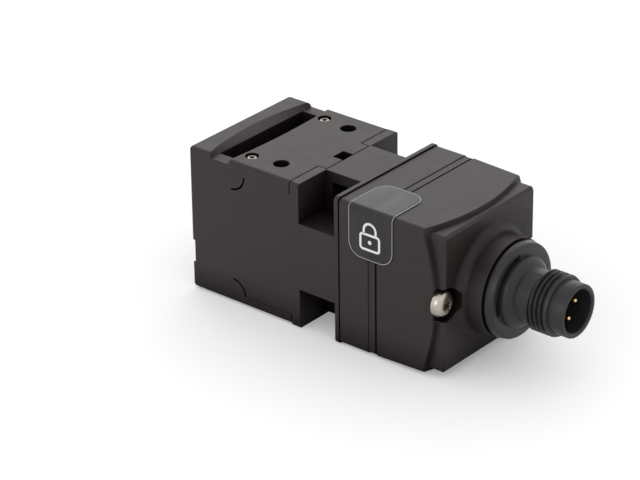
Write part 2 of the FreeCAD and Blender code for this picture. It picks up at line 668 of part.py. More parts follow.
def label():
    """Thin foil over the near top edge of the housing, across the seam."""
    start = BASE_FRONT + LABEL_FROM_RIM
    reach = (start, start + LABEL_LENGTH)
    outside = BODY_WIDTH / 2 + OVERCUT
    above = BODY_HEIGHT / 2 + OVERCUT
    lowest = BODY_HEIGHT / 2 - LABEL_SIDE_HEIGHT
    innermost = LABEL_TOP_WIDTH - BODY_WIDTH / 2
    side_window = box(reach, (-outside, BODY_EDGE_RADIUS - BODY_WIDTH / 2), (lowest, above))
    corners = [
        edge for edge in side_window.Edges
        if edge.BoundBox.YLength > OVERCUT and edge.BoundBox.ZMax < (above + lowest) / 2
    ]
    side_window = side_window.makeFillet(LABEL_CORNER_RADIUS, corners)
    top_window = box(reach, (-outside, innermost), (BODY_HEIGHT / 2 - BODY_EDGE_RADIUS, above))
    corners = [
        edge for edge in top_window.Edges
        if edge.BoundBox.ZLength > OVERCUT and edge.BoundBox.YMin > innermost - OVERCUT
    ]
    top_window = top_window.makeFillet(LABEL_CORNER_RADIUS, corners)
    foil = label_skin(LABEL_THICKNESS).cut(label_skin(0))
    return foil.common(side_window.fuse(top_window)).removeSplitter()


# ---- connector ----------------------------------------------------------------------------

def connector_shell():
    """Moulded connector body: shank, flange, hub, barrel of the thread's outer size and tip."""
    outside = turned([
        (NUT_BACK, 0), (NUT_BACK, CONNECTOR_SHANK_RADIUS), (CONNECTOR_SEAT, CONNECTOR_SHANK_RADIUS),
        (CONNECTOR_SEAT, CONNECTOR_FLANGE_RADIUS), (HUB_FRONT, CONNECTOR_FLANGE_RADIUS),
        (HUB_FRONT, HUB_RADIUS), (CONE_FRONT, HUB_RADIUS),
        (CONNECTOR_NECK_FRONT, CONNECTOR_NECK_RADIUS), (THREAD_FRONT, CONNECTOR_NECK_RADIUS),
        (THREAD_FRONT, THREAD_RADIUS), (THREAD_END, THREAD_RADIUS),
        (THREAD_END, TIP_RADIUS), (TIP_END, TIP_RADIUS), (TIP_END, 0),
    ])
    bore = rod((NUT_BACK - OVERCUT, TIP_END + OVERCUT), SOCKET_RADIUS)
    key = box(
        (SOCKET_FLOOR, TIP_END - KEY_SETBACK),
        (SOCKET_RADIUS - KEY_HEIGHT, (SOCKET_RADIUS + TIP_RADIUS) / 2),
        (-KEY_WIDTH / 2, KEY_WIDTH / 2),
    )
    key.rotate(vec(0, 0, 0), ALONG_X, KEY_ANGLE)
    return joined([outside.cut(bore), key])


def pin_places():
    """Places of the contact pins across the axis, with the key midway between two."""
    for number in range(PIN_COUNT):
        angle = math.radians(KEY_ANGLE - 180 / PIN_COUNT + 360 / PIN_COUNT * number)
        yield PIN_CIRCLE_RADIUS * math.cos(angle), PIN_CIRCLE_RADIUS * math.sin(angle)


def connector_insert():
    """Insulating insert that holds the pins."""
    plug = rod((INSERT_BACK, SOCKET_FLOOR), SOCKET_RADIUS - HELD_FIT)
    return plug.cut([rod((INSERT_BACK, SOCKET_FLOOR), PIN_RADIUS + HELD_FIT, y, z) for y, z in pin_places()])


def contact_pins():
    """Gold pins from the solder tails to the open end."""
    reach = (PIN_BACK, TIP_END - PIN_SETBACK)
    return Part.makeCompound([rod(reach, PIN_RADIUS, y, z) for y, z in pin_places()])


def connector_o_ring():
    """Ring seal under the connector's flange, pressed flat on both sides."""
    floor = BOSS_END - RING_GROOVE_DEPTH
    outer = RING_RADIUS + RING_SECTION_RADIUS
    inner = RING_RADIUS - RING_SECTION_RADIUS
    return turned([(floor, inner), (floor, outer), (CONNECTOR_SEAT, outer), (CONNECTOR_SEAT, inner)])


def connector_nut():
    nut = hexagon(NUT_BACK, NUT_THICKNESS, NUT_ACROSS_FLATS)
    return nut.cut(rod((NUT_BACK, COVER_INSIDE), CONNECTOR_SHANK_RADIUS + HELD_FIT))


# ---- cam wheel and plunger ----------------------------------------------------------------

def polar(radius, angle):
    """Point on the wheel's middle plane, with angles counted from +X towards +Z."""
    turn = math.radians(angle)
    return vec(WHEEL_X + radius * math.cos(turn), 0, radius * math.sin(turn))


def cam_track():
    """Space swept by the plunger's nose: a spiral whose radius falls with the angle."""
    start = -CAM_SWING - CAM_LEAD_OUT
    steps = 12
    curve = []
    for step in range(steps + 1):
        angle = start + (CAM_LEAD_IN - start) * step / steps
        curve.append(polar(CAM_REST_RADIUS + STROKE * angle / CAM_SWING, angle))
    spiral = Part.BSplineCurve()
    spiral.interpolate(curve)
    outer = WHEEL_RADIUS + OVERCUT
    rim = [polar(outer, angle) for angle in (CAM_LEAD_IN, (start + CAM_LEAD_IN) / 2, start)]
    wire = Part.Wire([
        spiral.toShape(),
        Part.LineSegment(curve[-1], rim[0]).toShape(),
        Part.Arc(*rim).toShape(),
        Part.LineSegment(rim[2], curve[0]).toShape(),
    ])
    track = Part.Face(wire).extrude(vec(0, CAM_GROOVE_WIDTH, 0))
    track.translate(vec(0, -CAM_GROOVE_WIDTH / 2, 0))
    return track


def notches():
    """The two notches that the tongue's bar falls into, one for each slot."""
    tools = []
    for angle in (NOTCH_ANGLE, NOTCH_ANGLE + 90):
        notch = box(
            (WHEEL_X + WHEEL_RADIUS - NOTCH_DEPTH, WHEEL_X + WHEEL_RADIUS + OVERCUT),
            (-WHEEL_CAVITY_WIDTH, WHEEL_CAVITY_WIDTH),
            (-NOTCH_WIDTH / 2, NOTCH_WIDTH / 2),
        )
        notch.rotate(vec(WHEEL_X, 0, 0), vec(0, -1, 0), angle)
        tools.append(notch)
    return tools


def cam_wheel():
    half = WHEEL_WIDTH / 2
    wheel = cross_rod((-half, half), WHEEL_RADIUS, WHEEL_X, 0)
    bore = cross_rod((-half, half), AXLE_RADIUS + RUNNING_FIT, WHEEL_X, 0)
    return wheel.cut([bore, cam_track()] + notches())


def coding_discs():
    """Thin notched discs on both faces of the cam wheel."""
    face = (WHEEL_WIDTH / 2, WHEEL_WIDTH / 2 + DISC_THICKNESS)
    disc = cross_rod(face, WHEEL_RADIUS, WHEEL_X, 0)
    disc = disc.cut([cross_rod(face, AXLE_RADIUS + RUNNING_FIT, WHEEL_X, 0)] + notches())
    return Part.makeCompound(both_sides(disc))


def cam_axle():
    return cross_rod((-AXLE_LENGTH / 2, AXLE_LENGTH / 2), AXLE_RADIUS, WHEEL_X, 0)


def plunger():
    """Rod with a rounded nose on the cam, a spring collar and a stub for the carrier."""
    nose_end = NOSE_TIP + NOSE_LENGTH
    middle = NOSE_TIP + NOSE_RADIUS
    lower = vec(middle, 0, -NOSE_RADIUS)
    upper = vec(middle, 0, NOSE_RADIUS)
    upper_end = vec(nose_end, 0, PLUNGER_RADIUS)
    lower_end = vec(nose_end, 0, -PLUNGER_RADIUS)
    flare = Part.Wire([
        Part.Arc(lower, vec(NOSE_TIP, 0, 0), upper).toShape(),
        Part.LineSegment(upper, upper_end).toShape(),
        Part.LineSegment(upper_end, lower_end).toShape(),
        Part.LineSegment(lower_end, lower).toShape(),
    ])
    nose = Part.Face(flare).extrude(vec(0, NOSE_WIDTH, 0))
    nose.translate(vec(0, -NOSE_WIDTH / 2, 0))
    nose = nose.common(rod((NOSE_TIP - OVERCUT, nose_end), PLUNGER_RADIUS))
    shaft = rod((nose_end, CARRIER_FRONT), PLUNGER_RADIUS)
    collar = rod((COLLAR_START, COLLAR_START + COLLAR_THICKNESS), COLLAR_OUTER_RADIUS)
    stub = rod((CARRIER_FRONT, CARRIER_FRONT + STUB_LENGTH), STUB_RADIUS)
    return joined([nose, shaft, collar, stub])


def plunger_guide():
    """Sleeve that guides the plunger and holds its return spring."""
    sleeve = rod((GUIDE_FRONT, GUIDE_BACK), GUIDE_RADIUS)
    spring_space = rod((GUIDE_FRONT - OVERCUT, GUIDE_END_WALL_FRONT), GUIDE_BORE_RADIUS)
    bore = rod((GUIDE_FRONT, GUIDE_BACK + OVERCUT), PLUNGER_RADIUS + RUNNING_FIT)
    return sleeve.cut([spring_space, bore])


def return_spring():
    """Flat-wire compression spring between the plunger's collar and the guide's end wall."""
    seat = COLLAR_START + COLLAR_THICKNESS
    half = SPRING_WIRE / 2
    travel = GUIDE_END_WALL_FRONT - seat - SPRING_WIRE
    steps = SPRING_TURNS * SPRING_STEPS
    sections = []
    for step in range(steps + 1):
        middle = vec(seat + half + travel * step / steps, 0, SPRING_RADIUS)
        section = square_wire(middle, ALONG_X * half, ALONG_Z * half)
        section.rotate(vec(0, 0, 0), ALONG_X, 360 * step / SPRING_STEPS)
        sections.append(section)
    return Part.makeLoft(sections, True, True)


# ---- contact block ------------------------------------------------------------------------

def strip_half():
    """Distance from the middle plane to the outer face of a side strip."""
    return BLOCK_INNER_HALF - STRIP_SIDE_GAP


def safety_strip():
    """Fixed contact at the block's front, with its strip along the side wall and its tail."""
    outer = strip_half()
    inner = RIVET_SPACING / 2 - RIVET_RADIUS
    level = (STRIP_LEVEL - STRIP_WIDTH / 2, STRIP_LEVEL + STRIP_WIDTH / 2)
    plate = box((SAFETY_STRIP_X, SAFETY_RIVET_X), (inner, outer), (-RIVET_RADIUS, level[1]))
    side = box((SAFETY_STRIP_X, TAIL_END), (outer - STRIP_THICKNESS, outer), level)
    rivet = rod((SAFETY_RIVET_X, SAFETY_RIVET_X + RIVET_HEIGHT), RIVET_RADIUS, RIVET_SPACING / 2)
    return joined([plate, side, rivet])


def signal_strip():
    """Fixed contact at the block's back wall, with its tail."""
    inner = RIVET_SPACING / 2 - RIVET_RADIUS
    outer = RIVET_SPACING / 2 + RIVET_RADIUS
    plate = box(
        (SIGNAL_STRIP_X, SIGNAL_STRIP_X + STRIP_THICKNESS), (inner, outer),
        (-STRIP_LEVEL - STRIP_WIDTH / 2, RIVET_RADIUS),
    )
    tail = box(
        (SIGNAL_STRIP_X, TAIL_END), (outer - STRIP_THICKNESS, outer),
        (-STRIP_LEVEL - STRIP_WIDTH / 2, STRIP_WIDTH / 2 - STRIP_LEVEL),
    )
    rivet = rod((SIGNAL_STRIP_X - RIVET_HEIGHT, SIGNAL_STRIP_X), RIVET_RADIUS, RIVET_SPACING / 2)
    return joined([plate, tail, rivet])


def contact_block():
    """Tray of the contact block, open on top, with slots for the contact tails."""
    tray = box(
        (BLOCK_FRONT, BLOCK_BACK), (-BLOCK_WIDTH / 2, BLOCK_WIDTH / 2), (-BLOCK_HEIGHT / 2, LID_LEVEL),
    )
    inside = box(
        (BLOCK_FRONT + BLOCK_WALL, BLOCK_BACK - BLOCK_WALL), (-BLOCK_INNER_HALF, BLOCK_INNER_HALF),
        (BLOCK_WALL - BLOCK_HEIGHT / 2, BLOCK_HEIGHT),
    )
    rod_hole = rod((BLOCK_FRONT - OVERCUT, SAFETY_RIVET_X), PLUNGER_RADIUS + PART_GAP)
    tools = [inside, rod_hole]
    for tail in both_sides(safety_strip()) + both_sides(signal_strip()):
        limits = tail.common(box((BLOCK_BACK - BLOCK_WALL, BLOCK_BACK), (-BLOCK_WIDTH, BLOCK_WIDTH),
                                 (-BLOCK_HEIGHT, BLOCK_HEIGHT))).BoundBox
        tools.append(box(
            (BLOCK_BACK - BLOCK_WALL, BLOCK_BACK),
            (limits.YMin - HELD_FIT, limits.YMax + HELD_FIT),
            (limits.ZMin - HELD_FIT, limits.ZMax + HELD_FIT),
        ))
    return tray.cut(tools)


def contact_block_lid():
    return box((BLOCK_FRONT, BLOCK_BACK), (-BLOCK_WIDTH / 2, BLOCK_WIDTH / 2), (LID_LEVEL, BLOCK_HEIGHT / 2))


def contact_carrier():
    """Slide with one window for each contact bridge."""
    slide = centred_box((CARRIER_FRONT, CARRIER_BACK), CARRIER_WIDTH, CARRIER_HEIGHT)
    tools = [rod((CARRIER_FRONT, CARRIER_FRONT + STUB_LENGTH), STUB_RADIUS + HELD_FIT)]
    for start in (SAFETY_BRIDGE_X, SIGNAL_WINDOW_X):
        tools.append(centred_box((start, start + WINDOW_LENGTH), 2 * CARRIER_WIDTH, WINDOW_HEIGHT))
    return slide.cut(tools)


def bridge(x, rivet_x):
    """Contact bridge across the slide with a rivet at each end."""
    strip = centred_box((x, x + BRIDGE_THICKNESS), BRIDGE_SPAN, BRIDGE_WIDTH)
    rivets = both_sides(rod((rivet_x, rivet_x + RIVET_HEIGHT), RIVET_RADIUS, RIVET_SPACING / 2))
    return joined([strip] + rivets)


def leaf(front, back):
    """Bowed leaf that touches one station with its ends and the other with its middle."""
    step = LEAF_THICKNESS if back > front else -LEAF_THICKNESS
    half = LEAF_SPAN / 2
    inner = Part.Arc(vec(front, -half, 0), vec(back - step, 0, 0), vec(front, half, 0))
    outer = Part.Arc(vec(front + step, -half, 0), vec(back, 0, 0), vec(front + step, half, 0))
    wire = Part.Wire([
        inner.toShape(),
        Part.LineSegment(vec(front, half, 0), vec(front + step, half, 0)).toShape(),
        outer.toShape(),
        Part.LineSegment(vec(front + step, -half, 0), vec(front, -half, 0)).toShape(),
    ])
    strip = Part.Face(wire).extrude(vec(0, 0, LEAF_WIDTH))
    strip.translate(vec(0, 0, -LEAF_WIDTH / 2))
    return strip


def bridge_springs():
    """One bowed leaf behind each bridge, inside its window."""
    return Part.makeCompound([
        leaf(SAFETY_BRIDGE_X + WINDOW_LENGTH, SAFETY_BRIDGE_X + BRIDGE_THICKNESS),
        leaf(SIGNAL_WINDOW_X, SIGNAL_BRIDGE_X),
    ])


def lead(start, end):
    """Square strip that leaves both ends along the axis, with a mitred slant between them."""
    offset = vec(0, end.y - start.y, end.z - start.z)
    straight = vec(LEAD_STRAIGHT_END, 0, 0)
    slant = math.atan2(offset.Length, end.x - start.x - 2 * LEAD_STRAIGHT_END)
    sideways = offset * (1 / offset.Length)
    upwards = ALONG_X.cross(sideways) * (LEAD_SIZE / 2)
    square = sideways * (LEAD_SIZE / 2)
    mitred = square - ALONG_X * (LEAD_SIZE / 2 * math.tan(slant / 2))
    path = [(start, square), (start + straight, mitred), (end - straight, mitred), (end, square)]
    sections = []
    for middle, across in path:
        sections.append(square_wire(middle, across, upwards))
    return Part.makeLoft(sections, True, True)


def internal_leads():
    """Four leads from the contact tails to the connector pins."""
    safety_y = strip_half() - STRIP_THICKNESS / 2
    signal_y = RIVET_SPACING / 2 + RIVET_RADIUS - STRIP_THICKNESS / 2
    tails = [
        (-safety_y, STRIP_LEVEL), (-signal_y, -STRIP_LEVEL),
        (signal_y, -STRIP_LEVEL), (safety_y, STRIP_LEVEL),
    ]
    leads = []
    for (tail_y, tail_z), (pin_y, pin_z) in zip(tails, pin_places()):
        leads.append(lead(vec(TAIL_END, tail_y, tail_z), vec(PIN_BACK, pin_y, pin_z)))
    return Part.makeCompound(leads)


PIECES = {
    "head_cap": head_cap(),
    "head_screws": head_screws(),
    "head_frame": head_frame(),
    "base_housing": base_housing(),
    "rear_cover": rear_cover(),
    "cover_seal": cover_seal(),
    "cover_screws": cover_screws(),
    "label": label(),
    "connector_shell": connector_shell(),
    "connector_insert": connector_insert(),
    "contact_pins": contact_pins(),
    "connector_o_ring": connector_o_ring(),
    "connector_nut": connector_nut(),
    "cam_axle": cam_axle(),
    "cam_wheel": cam_wheel(),
    "coding_discs": coding_discs(),
    "plunger": plunger(),
    "plunger_guide": plunger_guide(),
    "return_spring": return_spring(),
    "contact_block": contact_block(),
    "contact_block_lid": contact_block_lid(),
    "safety_contacts": Part.makeCompound(both_sides(safety_strip())),
    "signal_contacts": Part.makeCompound(both_sides(signal_strip())),
    "contact_carrier": contact_carrier(),
    "safety_bridge": bridge(SAFETY_BRIDGE_X, SAFETY_BRIDGE_X - RIVET_HEIGHT),
    "signal_bridge": bridge(SIGNAL_BRIDGE_X, SIGNAL_BRIDGE_X + BRIDGE_THICKNESS),
    "bridge_springs": bridge_springs(),
    "internal_leads": internal_leads(),
}

os.makedirs("parts", exist_ok=True)
for node, shape in PIECES.items():
    shape.translate(vec(-MOUNT_HOLE_FROM_END, 0, RIM_HEIGHT / 2))
    shape.exportStep("parts/" + node + ".step")
    print(node, len(shape.Solids), shape.isValid(), round(shape.Volume, 2), shape.BoundBox)
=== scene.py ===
import math

import bmesh
import bpy
from mathutils import Matrix, Vector


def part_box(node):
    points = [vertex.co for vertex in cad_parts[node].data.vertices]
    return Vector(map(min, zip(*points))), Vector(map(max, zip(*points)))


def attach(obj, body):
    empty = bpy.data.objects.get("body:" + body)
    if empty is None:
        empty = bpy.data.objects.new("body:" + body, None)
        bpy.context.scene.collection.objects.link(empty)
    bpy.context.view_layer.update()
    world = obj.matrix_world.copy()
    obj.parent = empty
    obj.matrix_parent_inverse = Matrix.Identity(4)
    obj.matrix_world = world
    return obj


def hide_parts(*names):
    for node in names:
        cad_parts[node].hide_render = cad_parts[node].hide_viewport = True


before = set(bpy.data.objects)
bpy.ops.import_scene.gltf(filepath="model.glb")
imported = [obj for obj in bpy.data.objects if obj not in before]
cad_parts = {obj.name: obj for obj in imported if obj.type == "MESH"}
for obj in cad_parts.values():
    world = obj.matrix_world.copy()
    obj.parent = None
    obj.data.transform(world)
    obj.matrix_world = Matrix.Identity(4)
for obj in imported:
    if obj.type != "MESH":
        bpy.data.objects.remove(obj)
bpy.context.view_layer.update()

MM = 0.001
FULL_TURN = 2 * math.pi

# ---- sizes of the dressed pieces, in millimetres ---------------------------------------------
# connector barrel, measured back from its open end
TIP_LENGTH = 3.2
TIP_RADIUS = 5.22
TIP_ROUND = 0.3
COLLAR_LENGTH = 0.45
COLLAR_RADIUS = 5.94
THREAD_BACK = 7.8
THREAD_PITCH = 1.03
THREAD_RADIUS = 6.0
THREAD_ROOT = 5.3
THREAD_FADE = 0.12
NECK_BACK = 10.5
NECK_RADIUS = 5.4
HUB_CONE_BACK = 11.8
HUB_BACK = 12.7
HUB_RADIUS = 6.95
WRENCH_SLOT_RADIUS = 8.05
WRENCH_SLOT_DEPTH = 1.1
WRENCH_SLOT_HALF_SPAN = math.radians(50)
FLANGE_BACK = 14.4
FLANGE_RADIUS = 9.5
FLANGE_FRONT_RADIUS = 9.25
SHANK_RADIUS = 6.5
SOCKET_RADIUS = 4.25
SOCKET_LIP = 0.3
KEY_ANGLE = math.radians(147)
KEY_WIDTH = 1.0
KEY_HEIGHT = 0.6
KEY_SETBACK = 0.8
SOCKET_DEPTH = 8.2
EDGE_ROUND = 0.16
TIP_FILLET = 0.06
NECK_FILLET_LENGTH = 0.02
NECK_FILLET_HEIGHT = 0.12
COLLAR_CHAMFER = 0.05
BARREL_COLUMNS = 168
THREAD_ROW = 0.075

# every thread: shares of half its pitch that the flat crest and the flank take
CREST_SHARE = 0.14
FLANK_SHARE = 0.5

# contact pins
PIN_COUNT = 4
PIN_RADIUS = 0.5
PIN_FOOT_RADIUS = 0.35
PIN_FOOT_LENGTH = 0.15
PIN_CIRCLE_RADIUS = 2.5
PIN_COLUMNS = 28
PIN_DOME_ROWS = 7

# screws; a recess is measured down from the top of the head
COVER_SCREW = {
    "head_height": 1.9, "flat_radius": 1.3, "recess_outer": 1.2, "recess_inner": 0.82,
    "recess_depth": 1.3, "recess_turn": 0.3, "shank_radius": 1.2, "pitch": 0.5,
}
HEAD_SCREW = {
    "head_height": 0.9, "flat_radius": 0.8, "recess_outer": 0.66, "recess_inner": 0.44,
    "recess_depth": 0.5, "recess_turn": 0.0, "shank_radius": 0.7, "pitch": 0.35,
}
SCREW_SIDE_SHARE = 0.3
SCREW_THREAD_SHARE = 0.17
SCREW_EDGE = 0.03
SCREW_COLUMNS = 72
SCREW_DOME_ROWS = 8
SCREW_ROWS_PER_PITCH = 8

# foil label and the line printed round its edge
FOIL_EDGE_RADIUS = 1.02
FOIL_CORNER_RADIUS = 3.0
COVER_TAPER = math.tan(math.radians(1.3))
LINE_WIDTH = 0.14
LINE_INSET = 0.14
PRINT_LIFT = 0.012

# padlock sign, measured from one point on the label
LOCK_ALONG_SHARE = 0.49
LOCK_UP = 4.4
LOCK_LINE = 0.5
CASE_HALF_WIDTH = 2.2
CASE_BELOW = 2.2
CASE_ABOVE = 0.9
CASE_CORNER_RADIUS = 0.6
BOW_RADIUS = 1.4
BOW_FOOT = 1.0
BOW_MIDDLE = 1.8
BOW_STEPS = 16
KEYHOLE_RADIUS = 0.22
KEYHOLE_BELOW = 0.6
KEYHOLE_LINE = 0.4
KEYHOLE_STEPS = 20


# ---- shader node groups -----------------------------------------------------------------------

def shader_group(name, inputs, outputs):
    """Empty shader node group with named value, colour or vector sockets."""
    group = bpy.data.node_groups.new(name, "ShaderNodeTree")
    kinds = {"value": "NodeSocketFloat", "color": "NodeSocketColor", "vector": "NodeSocketVector"}
    for label, kind, default in inputs:
        socket = group.interface.new_socket(label, in_out="INPUT", socket_type=kinds[kind])
        socket.default_value = default
    for label, kind in outputs:
        group.interface.new_socket(label, in_out="OUTPUT", socket_type=kinds[kind])
    source = group.nodes.new("NodeGroupInput")
    sink = group.nodes.new("NodeGroupOutput")
    return group, source.outputs, sink.inputs


def node(tree, kind, inputs=None, **settings):
    """New node with its settings; each input takes a value or another node's output."""
    made = tree.nodes.new(kind)
    for key, value in settings.items():
        setattr(made, key, value)
    for key, value in (inputs or {}).items():
        if isinstance(value, bpy.types.NodeSocket):
            tree.links.new(value, made.inputs[key])
        else:
            made.inputs[key].default_value = value
    return made


def maths(tree, operation, first, second=0.0, third=0.0, clamp=False):
    made = node(tree, "ShaderNodeMath", {0: first, 1: second, 2: third}, operation=operation)
    made.use_clamp = clamp
    return made.outputs[0]


def noise(tree, place, size, detail=3.0, rough=0.55):
    """Noise whose features are about size millimetres across."""
    per_size = maths(tree, "DIVIDE", 1 / MM, size)
    made = node(
        tree, "ShaderNodeTexNoise",
        {"Vector": place, "Scale": per_size, "Detail": detail, "Roughness": rough},
    )
    return made.outputs["Fac"]


def object_place(tree):
    return node(tree, "ShaderNodeTexCoord").outputs["Object"]


# moulded skin: the coarse grain is so many times the fine one, which makes most of the height;
# a gloss patch is a share of a tone patch, and a speck's radius one of its cell
COARSE_GRAIN_TIMES = 3.1
FINE_HEIGHT_SHARE = 0.65
GLOSS_PATCH_SHARE = 0.22
SPECK_RADIUS_SHARE = 0.028
BARE_CELLS_SHARE = 0.72


def moulded_skin_group():
    """Fine matt texture of a moulded part, its slow tone changes and a few pale specks."""
    group, given, result = shader_group(
        "Moulded skin",
        [("Grain", "value", 0.16), ("Flow", "value", 9.0), ("Speck Size", "value", 3.2)],
        [("Height", "value"), ("Tone", "value"), ("Gloss", "value"), ("Specks", "value")],
    )
    place = object_place(group)
    fine = noise(group, place, given["Grain"])
    coarse_size = maths(group, "MULTIPLY", given["Grain"], COARSE_GRAIN_TIMES)
    coarse = noise(group, place, coarse_size, detail=2.0)
    fine_height = maths(group, "MULTIPLY", fine, FINE_HEIGHT_SHARE)
    coarse_height = maths(group, "MULTIPLY", coarse, 1.0 - FINE_HEIGHT_SHARE)
    group.links.new(maths(group, "ADD", fine_height, coarse_height), result["Height"])
    tone = noise(group, place, given["Flow"], detail=2.0)
    group.links.new(tone, result["Tone"])
    patch_size = maths(group, "MULTIPLY", given["Flow"], GLOSS_PATCH_SHARE)
    group.links.new(noise(group, place, patch_size, detail=4.0), result["Gloss"])
    cells = node(
        group, "ShaderNodeTexVoronoi",
        {"Vector": place, "Scale": maths(group, "DIVIDE", 1 / MM, given["Speck Size"])},
    )
    near = maths(group, "LESS_THAN", cells.outputs["Distance"], SPECK_RADIUS_SHARE)
    chance = node(group, "ShaderNodeSeparateColor", {0: cells.outputs["Color"]}).outputs[0]
    rare = maths(group, "GREATER_THAN", chance, BARE_CELLS_SHARE)
    group.links.new(maths(group, "MULTIPLY", near, rare), result["Specks"])
    return group


def soft_edge_group():
    """Rounded normal at sharp edges, and a mask that is 1 on them."""
    group, given, result = shader_group(
        "Soft edges", [("Radius", "value", 0.15 * MM), ("Reach", "value", 5.0)],
        [("Normal", "vector"), ("Edge", "value")],
    )
    bevel = node(group, "ShaderNodeBevel", {"Radius": given["Radius"]}, samples=6)
    true_normal = node(group, "ShaderNodeNewGeometry").outputs["Normal"]
    agreement = node(
        group, "ShaderNodeVectorMath", {0: bevel.outputs[0], 1: true_normal}, operation="DOT_PRODUCT",
    )
    bend = maths(group, "SUBTRACT", 1.0, agreement.outputs["Value"])
    group.links.new(maths(group, "MULTIPLY", bend, given["Reach"], clamp=True), result["Edge"])
    group.links.new(bevel.outputs[0], result["Normal"])
    return group


CLOUD_TIMES = 14.0  # the size of a cloudy mark against a line's


def drawn_lines_group():
    """Fine parallel marks of turning or drawing, and slow cloudy handling marks."""
    group, given, result = shader_group(
        "Drawn lines", [("Stretch", "vector", (1.0, 1.0, 1.0)), ("Size", "value", 0.1)],
        [("Height", "value"), ("Cloud", "value")],
    )
    place = object_place(group)
    stretched = node(
        group, "ShaderNodeVectorMath", {0: place, 1: given["Stretch"]}, operation="MULTIPLY",
    ).outputs[0]
    group.links.new(noise(group, stretched, given["Size"], detail=2.0), result["Height"])
    cloud_size = maths(group, "MULTIPLY", given["Size"], CLOUD_TIMES)
    group.links.new(noise(group, place, cloud_size), result["Cloud"])
    return group


def recess_shade_group():
    """Mask for painted shade: 1 on a piece's open surface, falling in its own recesses."""
    group, given, result = shader_group(
        "Recesses", [("Reach", "value", 0.6 * MM), ("Contrast", "value", 1.6)], [("Open", "value")],
    )
    openness = node(
        group, "ShaderNodeAmbientOcclusion", {"Distance": given["Reach"]}, samples=8, only_local=True,
    ).outputs["AO"]
    group.links.new(maths(group, "POWER", openness, given["Contrast"]), result["Open"])
    return group


MOULDED_SKIN = moulded_skin_group()
SOFT_EDGES = soft_edge_group()
DRAWN_LINES = drawn_lines_group()
RECESS_SHADE = recess_shade_group()


# ---- materials --------------------------------------------------------------------------------

def new_material(name, settings):
    """Material with a Principled shader whose fixed sockets take the given settings."""
    material = bpy.data.materials.new(name)
    material.use_nodes = True
    tree = material.node_tree
    shader = tree.nodes["Principled BSDF"]
    for socket, value in settings.items():
        shader.inputs[socket].default_value = value
    return material, tree, shader


def use_group(tree, group, **values):
    made = node(tree, "ShaderNodeGroup", node_tree=group)
    for socket, value in values.items():
        made.inputs[socket.replace("_", " ")].default_value = value
    return made.outputs


def mix_colour(tree, share, first, second):
    made = node(tree, "ShaderNodeMix", {0: share, 6: first, 7: second}, data_type="RGBA")
    return made.outputs[2]


def between(tree, share, low, high, start=0.0):
    """A value that is low where the share is at start or under it, and high where it is 1."""
    made = node(
        tree, "ShaderNodeMapRange",
        {"Value": share, "From Min": start, "To Min": low, "To Max": high},
    )
    return made.outputs[0]


def raise_surface(tree, shader, height, normal, strength, depth):
    """Relief of a height pattern, depth millimetres deep, over the softened edges' normal."""
    bump = node(tree, "ShaderNodeBump", {
        "Strength": strength, "Distance": depth * MM, "Height": height, "Normal": normal,
    })
    tree.links.new(bump.outputs[0], shader.inputs["Normal"])


def colour(red, green, blue):
    return (red, green, blue, 1.0)


# plastics: how far the tone and gloss swing, how pale the painted highlight on edges gets, specks and the
# painted shade in deep corners
TONE_RANGE = (0.1, 0.9)
GLOSS_SWING = 0.07
EDGE_HIGHLIGHT_TIMES = 2.1
EDGE_HIGHLIGHT_ADDED = 0.01
SPECK_COLOUR = colour(0.16, 0.15, 0.15)
SPECK_STRENGTH = 0.35
# painted shade: the near black that corners and crevices are darkened towards, and how far the darkening
# reaches
CREVICE_SHADE_COLOUR = colour(0.004, 0.003, 0.003)
CREVICE_SHADE_REACH = 7.0

# metals: the painted shade in their recesses, its colour, reach and contrast
RECESS_SHADE_COLOUR = colour(0.03, 0.026, 0.022)
RECESS_SHADE_REACH = 0.6
RECESS_SHADE_CONTRAST = 1.6

# foil
FOIL_LEVEL = 0.4
FOIL_COAT_ROUGHNESS = 0.15
FOIL_COAT_MOST = 0.44
FOIL_COAT_START = 0.24


def plastic(
    name, dark, light, rough, grain=0.16, depth=0.012, edge_light=0.35, edge=0.15, level=0.5,
    specks=True, crevice_shade=0.0,
):
    """Moulded plastic: grain, slow tone changes, softened edges with a highlight painted along them.

    Above 0, the last argument paints shade into corners and crevices and lowers the specular level there,
    the more so the larger it is.
    """
    material, tree, shader = new_material(name, {"Specular IOR Level": level})
    skin = use_group(tree, MOULDED_SKIN, Grain=grain)
    edges = use_group(tree, SOFT_EDGES, Radius=edge * MM)
    body = mix_colour(tree, between(tree, skin["Tone"], *TONE_RANGE), dark, light)
    # painted highlight: the colour turns paler along edges, where light would catch them
    pale = colour(*(min(1.0, EDGE_HIGHLIGHT_TIMES * part + EDGE_HIGHLIGHT_ADDED) for part in light[:3]))
    surface = mix_colour(tree, maths(tree, "MULTIPLY", edges["Edge"], edge_light), body, pale)
    if specks:
        speck_share = maths(tree, "MULTIPLY", skin["Specks"], SPECK_STRENGTH)
        surface = mix_colour(tree, speck_share, surface, SPECK_COLOUR)
    # painted shade: ambient occlusion darkens the colour in corners and crevices and lowers the specular
    # level there
    if crevice_shade:
        openness = node(
            tree, "ShaderNodeAmbientOcclusion", {"Distance": CREVICE_SHADE_REACH * MM}, samples=8,
        ).outputs["AO"]
        clear = maths(tree, "POWER", openness, crevice_shade)
        surface = mix_colour(tree, clear, CREVICE_SHADE_COLOUR, surface)
        tree.links.new(maths(tree, "MULTIPLY", clear, level), shader.inputs["Specular IOR Level"])
    tree.links.new(surface, shader.inputs["Base Color"])
    gloss = between(tree, skin["Gloss"], rough - GLOSS_SWING, rough + GLOSS_SWING)
    tree.links.new(gloss, shader.inputs["Roughness"])
    raise_surface(tree, shader, skin["Height"], edges["Normal"], 0.8, depth)
    return material


